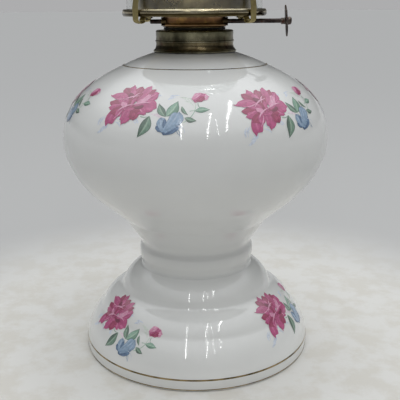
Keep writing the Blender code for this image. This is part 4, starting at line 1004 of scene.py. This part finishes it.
# Prong rivets: four soft brass rivets that go up through prong and pan, with their heads struck to low
# domes. The heads share the bead's brass, with its painted highlight and shade by height.
RIVET_SHANK = 0.7
RIVET_HEAD = (rivet_high.x - rivet_low.x) / MM / 2
upper_head, lower_head = PAN_TOP + 0.3, PAN_BOTTOM - 1.1
rivet_line = [(RIVET_HEAD * math.sin(t), upper_head + (rivet_high.z / MM - upper_head) * math.cos(t))
              for t in (math.radians(d) for d in range(0, 91, 15))]
rivet_line += [(RIVET_SHANK, upper_head), (RIVET_SHANK, lower_head)]
rivet_line += [(RIVET_HEAD * math.sin(t), lower_head - (lower_head - rivet_low.z / MM) * math.cos(t))
               for t in (math.radians(d) for d in range(90, -1, -15))]
for i, degrees in enumerate(PRONG_ANGLES):
    rivet = turned(f"struck_rivet_{i + 1}", rivet_line, tarnished_brass_painted_light, steps=24, closed=False)
    angle = math.radians(degrees)
    rivet.data.transform(Matrix.Translation(Vector((math.cos(angle), math.sin(angle), 0)) * RIVET_RING * MM))
    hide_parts(f"prong_rivet_{i + 1}")
    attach(rivet, "burner")


# Deflector dome: spun from thin brass over a former, with a slot punched over the wick. Heat has drawn
# brown and grey rings on its crown; lower down it is olive gold with fine spinning lines.
dome_low, dome_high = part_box("deflector_dome")
low, crown = dome_low.z / MM, dome_high.z / MM
DOME_FLANGE = dome_high.x / MM
DOME_RADIUS = DOME_FLANGE - 1.0
DOME_SHEET = 0.5
DOME_SLOT = (15.5, 4.1)

dome_brass = old_brass("heat_stained_brass", "#d2bf92", "#8f7f5e", "#66573f",
                       roughness=0.28, patch=22.2, stain_share=0.6,
                       bands=(crown - 9, crown, (0, "#ffffff"), (0.45, "#b58a6a"), (0.75, "#6d6478"),
                              (1, "#4a4038")))

dome_height = crown - low
shares = ((0.0, 0.0), (0.3, 0.01), (0.52, 0.067), (0.73, 0.192), (0.88, 0.383), (0.965, 0.625), (1.0, 0.854))
dome_shape = smooth_through([(DOME_RADIUS * share, crown - dome_height * fall) for share, fall in shares], 5)
dome_line = dome_shape + [(DOME_RADIUS, low + 1.0), (DOME_RADIUS + 0.3, low + 0.62),
                          (DOME_FLANGE - 0.1, low + DOME_SHEET)]
dome_line += [(DOME_FLANGE, low + 0.25), (DOME_FLANGE - 0.1, low), (DOME_RADIUS - DOME_SHEET, low)]
dome_line += [(DOME_RADIUS - DOME_SHEET, low + 2)]
dome_line += list(reversed(offset_inward(dome_shape, DOME_SHEET)[1:])) + [(0, crown - DOME_SHEET)]
dome = turned("spun_dome", dome_line, dome_brass, closed=False)


def oval(half_length, half_width, steps=9):
    """A flat oval with round ends, as (x, y) points."""
    straight = half_length - half_width
    points = []
    for centre, start in ((straight, -90), (-straight, 90)):
        for i in range(steps):
            angle = math.radians(start + 180 * i / (steps - 1))
            points.append((centre + half_width * math.cos(angle), half_width * math.sin(angle)))
    return points


def stacked(name, sections, material, sharp=35):
    """Skins a stack of closed sections, each (height, points), and closes the ends."""
    shape = bmesh.new()
    loops = [[shape.verts.new((x, y, height)) for x, y in points] for height, points in sections]
    return skinned(name, shape, loops, material, sharp)


slot_punch = stacked("slot_punch", [(crown - 9, oval(*DOME_SLOT)), (crown + 3, oval(*DOME_SLOT))],
                     olive_brass)
cut_with(dome, slot_punch)
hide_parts("deflector_dome")
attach(dome, "burner")


# Wick tube, winder cap and spur wheels: stamped burner parts shut inside the drum and dome. They keep
# their own shapes; tube and cap are browned by heat, and the toothed wheels are brighter.
hot_brass = old_brass("heat_browned_brass", "#8d7a50", "#5f5036", "#3a3026",
                      roughness=0.4, patch=12.5, stain_share=0.56)
for node in ("wick_tube", "winder_cap"):
    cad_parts[node].material_slots[0].material = hot_brass
for i in range(1, 5):
    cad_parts[f"spur_wheel_{i}"].material_slots[0].material = screw_brass


# Winder shaft: a steel rod blackened by oil and heat, domed at its free end. The finish is a thin brown
# black skin with rust freckles, so that it shines softly only along its top.
FRECKLE_SIZE = 1.61
RUBBED_SIZE = 4.55


def blackened(name, bright, dark, rust, roughness):
    """Steel under a worn black oxide: dark skin, patches rubbed to metal and small rust freckles."""
    made, tree, shader = new_material(name, dark, roughness, metallic=0.85)
    place = add_node(tree, "TexCoord").outputs["Object"]
    skin = add_node(tree, "TexNoise",
                    inputs={"Vector": place, "Scale": 1 / (RUBBED_SIZE * MM), "Detail": 5.0})
    freckles = add_node(tree, "TexNoise",
                        inputs={"Vector": place, "Scale": 1 / (FRECKLE_SIZE * MM), "Detail": 4.0})
    tone = add_node(tree, "ValToRGB", inputs={"Fac": skin}, stops=((0.4, dark), (0.72, bright)))
    freckled = add_node(tree, "MapRange", inputs={"Value": freckles, "From Min": 0.58, "From Max": 0.7})
    mixed = add_node(tree, "Mix", {"data_type": "RGBA"},
                     {"Factor": freckled, 6: tone, 7: linear(rust)})
    feed(tree, shader.inputs["Base Color"], mixed)
    bump = add_node(tree, "Bump", inputs={"Strength": 0.4, "Distance": 0.1 * MM, "Height": freckles})
    feed(tree, shader.inputs["Normal"], bump)
    return made


black_steel = blackened("blackened_steel_rod", "#5b504c", "#2c2524", "#4a2c22", 0.42)
near, far = shaft_low.x / MM, shaft_high.x / MM
rod = turned("winder_rod",
             [(0, far), (SHAFT_RADIUS - 0.2, far), (SHAFT_RADIUS, far - 0.2), (SHAFT_RADIUS, near + 0.5),
                            (SHAFT_RADIUS - 0.25, near + 0.12), (SHAFT_RADIUS * 0.5, near), (0, near)],
             black_steel, steps=40, closed=False)
along_x(rod, SHAFT_PLACE)
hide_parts("winder_shaft")
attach(rod, "wick_winder")


# Thumbwheel: a pressed steel disc with a raised ring and a milled edge, staked on the shaft by its hub.
# The teeth of the milling are rubbed to dull metal by thumbs, and a knock has set the disc askew.
wheel_low, wheel_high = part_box("thumbwheel")
WHEEL_RADIUS = (wheel_high.y - wheel_low.y) / MM / 2
WHEEL_NOTCHES = 48
WHEEL_NOTCH = 0.35
WHEEL_LEAN = -4.0
WHEEL_SWING = 5.5
HUB_BORE = SHAFT_RADIUS + 0.3
wheel_steel = blackened("rubbed_steel_wheel", "#6f655c", "#332b29", "#50332a", 0.38)
hub_end = wheel_low.x / MM
back = hub_end + 2.4
face = back + 0.9
wheel_line = [(HUB_BORE, face), (4.6, face), (5.2, face + 0.18), (6.0, face + 0.3), (6.5, face + 0.18),
              (7.1, face)]
wheel_line += [(WHEEL_RADIUS - 0.5, face), (WHEEL_RADIUS - 0.12, face - 0.12), (WHEEL_RADIUS, face - 0.3)]
wheel_line += [(WHEEL_RADIUS, back + 0.3), (WHEEL_RADIUS - 0.12, back + 0.12), (WHEEL_RADIUS - 0.5, back),
               (2.1, back)]
wheel_line += [(1.9, back - 0.2), (1.75, back - 0.6), (1.7, hub_end), (HUB_BORE, hub_end)]


def milled(radius, height, angle):
    if radius < WHEEL_RADIUS - 0.2:
        return radius
    return radius - WHEEL_NOTCH * (0.5 - 0.5 * math.cos(WHEEL_NOTCHES * angle)) ** 0.7


wheel = turned("milled_thumbwheel", wheel_line, wheel_steel, steps=WHEEL_NOTCHES * 4, shift=milled)
hub = Matrix.Translation(Vector((0, 0, face)) * MM)
lean = Matrix.Rotation(math.radians(WHEEL_LEAN), 4, "Y")
swing = Matrix.Rotation(math.radians(WHEEL_SWING), 4, "X")
wheel.data.transform(hub @ lean @ swing @ hub.inverted())
along_x(wheel, SHAFT_PLACE)
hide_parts("thumbwheel")
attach(wheel, "wick_winder")


# Shaft button: a little steel cap pressed on the shaft's end and peened over to keep the wheel on. Thumbs
# have rubbed it like the wheel.
button_low, button_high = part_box("shaft_button")
near, far = button_low.x / MM, button_high.x / MM
outer = (button_high.y - button_low.y) / MM / 2
button_line = [(0, far), (outer * 0.45, far - 0.08), (outer - 0.45, far - 0.3), (outer - 0.12, far - 0.7),
               (outer, far - 1.1)]
button_line += [(outer, near + 0.15), (outer - 0.15, near), (HUB_BORE, near), (HUB_BORE, far - 0.8)]
button_line += [(0, far - 0.8)]
button = turned("peened_button", button_line, wheel_steel, steps=32, closed=False)
along_x(button, SHAFT_PLACE)
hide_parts("shaft_button")
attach(button, "wick_winder")


# Wick: flat loom-woven cotton, thick and soft, with the warp in plump cords down its length. It is cream
# above, yellowed by oil lower down, and charred black along its trimmed top edge.
wick_low, wick_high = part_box("wick")
WICK_CORDS = 18
WICK_SWELL = 0.1
WICK_SWELL_ROOM = 0.15
WICK_PICK = 1.5
FIBRE_SIZE = 0.667
low, high = wick_low.z / MM, wick_high.z / MM
half_length, half_width = wick_high.x / MM, wick_high.y / MM

cotton, tree, shader = new_material("woven_cotton_wick", "#d9cfb6", 0.95)
place = add_node(tree, "TexCoord").outputs["Object"]
parts = add_node(tree, "SeparateXYZ", inputs={0: place})
fibre = add_node(tree, "TexNoise", inputs={"Vector": place, "Scale": 1 / (FIBRE_SIZE * MM), "Detail": 4.0})
level = add_node(tree, "MapRange",
                 inputs={"Value": parts.outputs["Z"], "From Min": low * MM, "From Max": high * MM})
uneven = add_node(tree, "Math", {"operation": "MULTIPLY_ADD"}, {0: fibre, 1: 0.02, 2: level})
tone = add_node(tree, "ValToRGB", inputs={"Fac": uneven}, stops=(
    (0.0, "#b39b62"), (0.55, "#cdbd92"), (0.9, "#d9cfb6"), (0.985, "#8f7e62"), (1.0, "#1c1815")))
shade = add_node(tree, "MapRange", inputs={"Value": fibre, "From Min": 0.3, "From Max": 0.7,
                                           "To Min": 0.8, "To Max": 1.1})
tinted = add_node(tree, "Mix", {"data_type": "RGBA", "blend_type": "MULTIPLY"},
                  {"Factor": 1.0, 6: tone, 7: shade})
feed(tree, shader.inputs["Base Color"], tinted)
bump = add_node(tree, "Bump", inputs={"Strength": 0.7, "Distance": 0.2 * MM, "Height": fibre})
feed(tree, shader.inputs["Normal"], bump)

flat_steps = WICK_CORDS * 4
straight = half_length - half_width
edge = oval(half_length - WICK_SWELL_ROOM, half_width - WICK_SWELL_ROOM, 7)[1:6]
edge += [(straight - 2 * straight * i / flat_steps, half_width - WICK_SWELL_ROOM)
         for i in range(flat_steps + 1)]
section = edge + [(-x, -y) for x, y in edge]
wick_rows = []
row_count = round((high - low) / WICK_PICK * 3)
for i in range(row_count + 1):
    level_up = low + (high - low) * i / row_count
    points = []
    for x, y in section:
        cord = math.sin(math.pi * WICK_CORDS * x / half_length)
        pick = math.sin(math.tau * level_up / WICK_PICK + (math.pi if cord > 0 else 0))
        swell = WICK_SWELL * abs(cord) * pick
        points.append((x, y + math.copysign(swell, y)))
    wick_rows.append((level_up, points))
wick = stacked("woven_wick", wick_rows, cotton, sharp=60)
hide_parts("wick")
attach(wick, "wick")


# Chimney: clear blown glass, shaped hot in a mould, its lip fire-polished round. The wall carries the
# faint waves and green tint of old lamp glass and stays almost invisible against a pale room.
chimney_low, chimney_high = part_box("glass_chimney")
CHIMNEY_RADIUS = 37.8
CHIMNEY_BULGE = chimney_high.x / MM
CHIMNEY_TOP_RADIUS = 25.6
CHIMNEY_WALL = 1.9
CHIMNEY_FITTER = 17.0
height = (chimney_high.z - chimney_low.z) / MM
base = chimney_low.z / MM
rise = height - CHIMNEY_FITTER

clear_glass, tree, shader = new_material("old_lamp_glass", "#f7faf8", 0.01, ior=1.5)
shader.inputs["Transmission Weight"].default_value = 1.0
cloudy(tree, shader, size=26.3, detail=1.0, stops=((0.3, "#f3f8f5"), (0.7, "#fbfcfb")),
       relief=(26.3, 1.0, 0.05, 0.8))

stations = [(CHIMNEY_TOP_RADIUS + 1.2, height), (CHIMNEY_TOP_RADIUS + 0.5, height - 3.5),
            (CHIMNEY_TOP_RADIUS, height - 16)]
shares = ((0.06, 0.83), (0.18, 0.72), (0.38, 0.61), (0.62, 0.51), (0.86, 0.40))
stations += [(CHIMNEY_TOP_RADIUS + (CHIMNEY_BULGE - CHIMNEY_TOP_RADIUS) * share,
              CHIMNEY_FITTER + rise * level)
             for share, level in shares]
stations += [(CHIMNEY_BULGE, CHIMNEY_FITTER + rise * 0.25),
             (CHIMNEY_BULGE - 1.6, CHIMNEY_FITTER + rise * 0.165)]
stations += [((CHIMNEY_BULGE + CHIMNEY_RADIUS) / 2 - 0.2, CHIMNEY_FITTER + rise * 0.075)]
stations += [(CHIMNEY_RADIUS + 0.8, CHIMNEY_FITTER + 3.2), (CHIMNEY_RADIUS, CHIMNEY_FITTER),
             (CHIMNEY_RADIUS, 1.2)]
glass_line = smooth_through(stations, 6)
inner_line = list(reversed(offset_inward(glass_line, CHIMNEY_WALL)))
foot_round = [(CHIMNEY_RADIUS - 0.3, 0.3), (CHIMNEY_RADIUS - 0.9, 0.0), (CHIMNEY_RADIUS - 1.5, 0.25)]
lip_round = [(CHIMNEY_TOP_RADIUS - 0.4, height - 0.3), (CHIMNEY_TOP_RADIUS + 0.3, height),
             (CHIMNEY_TOP_RADIUS + 0.9, height)]
glass_outline = glass_line[1:] + foot_round + inner_line[:-1] + lip_round
chimney = turned("blown_chimney", [(radius, base + level) for radius, level in glass_outline], clear_glass)
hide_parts("glass_chimney")
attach(chimney, "chimney")
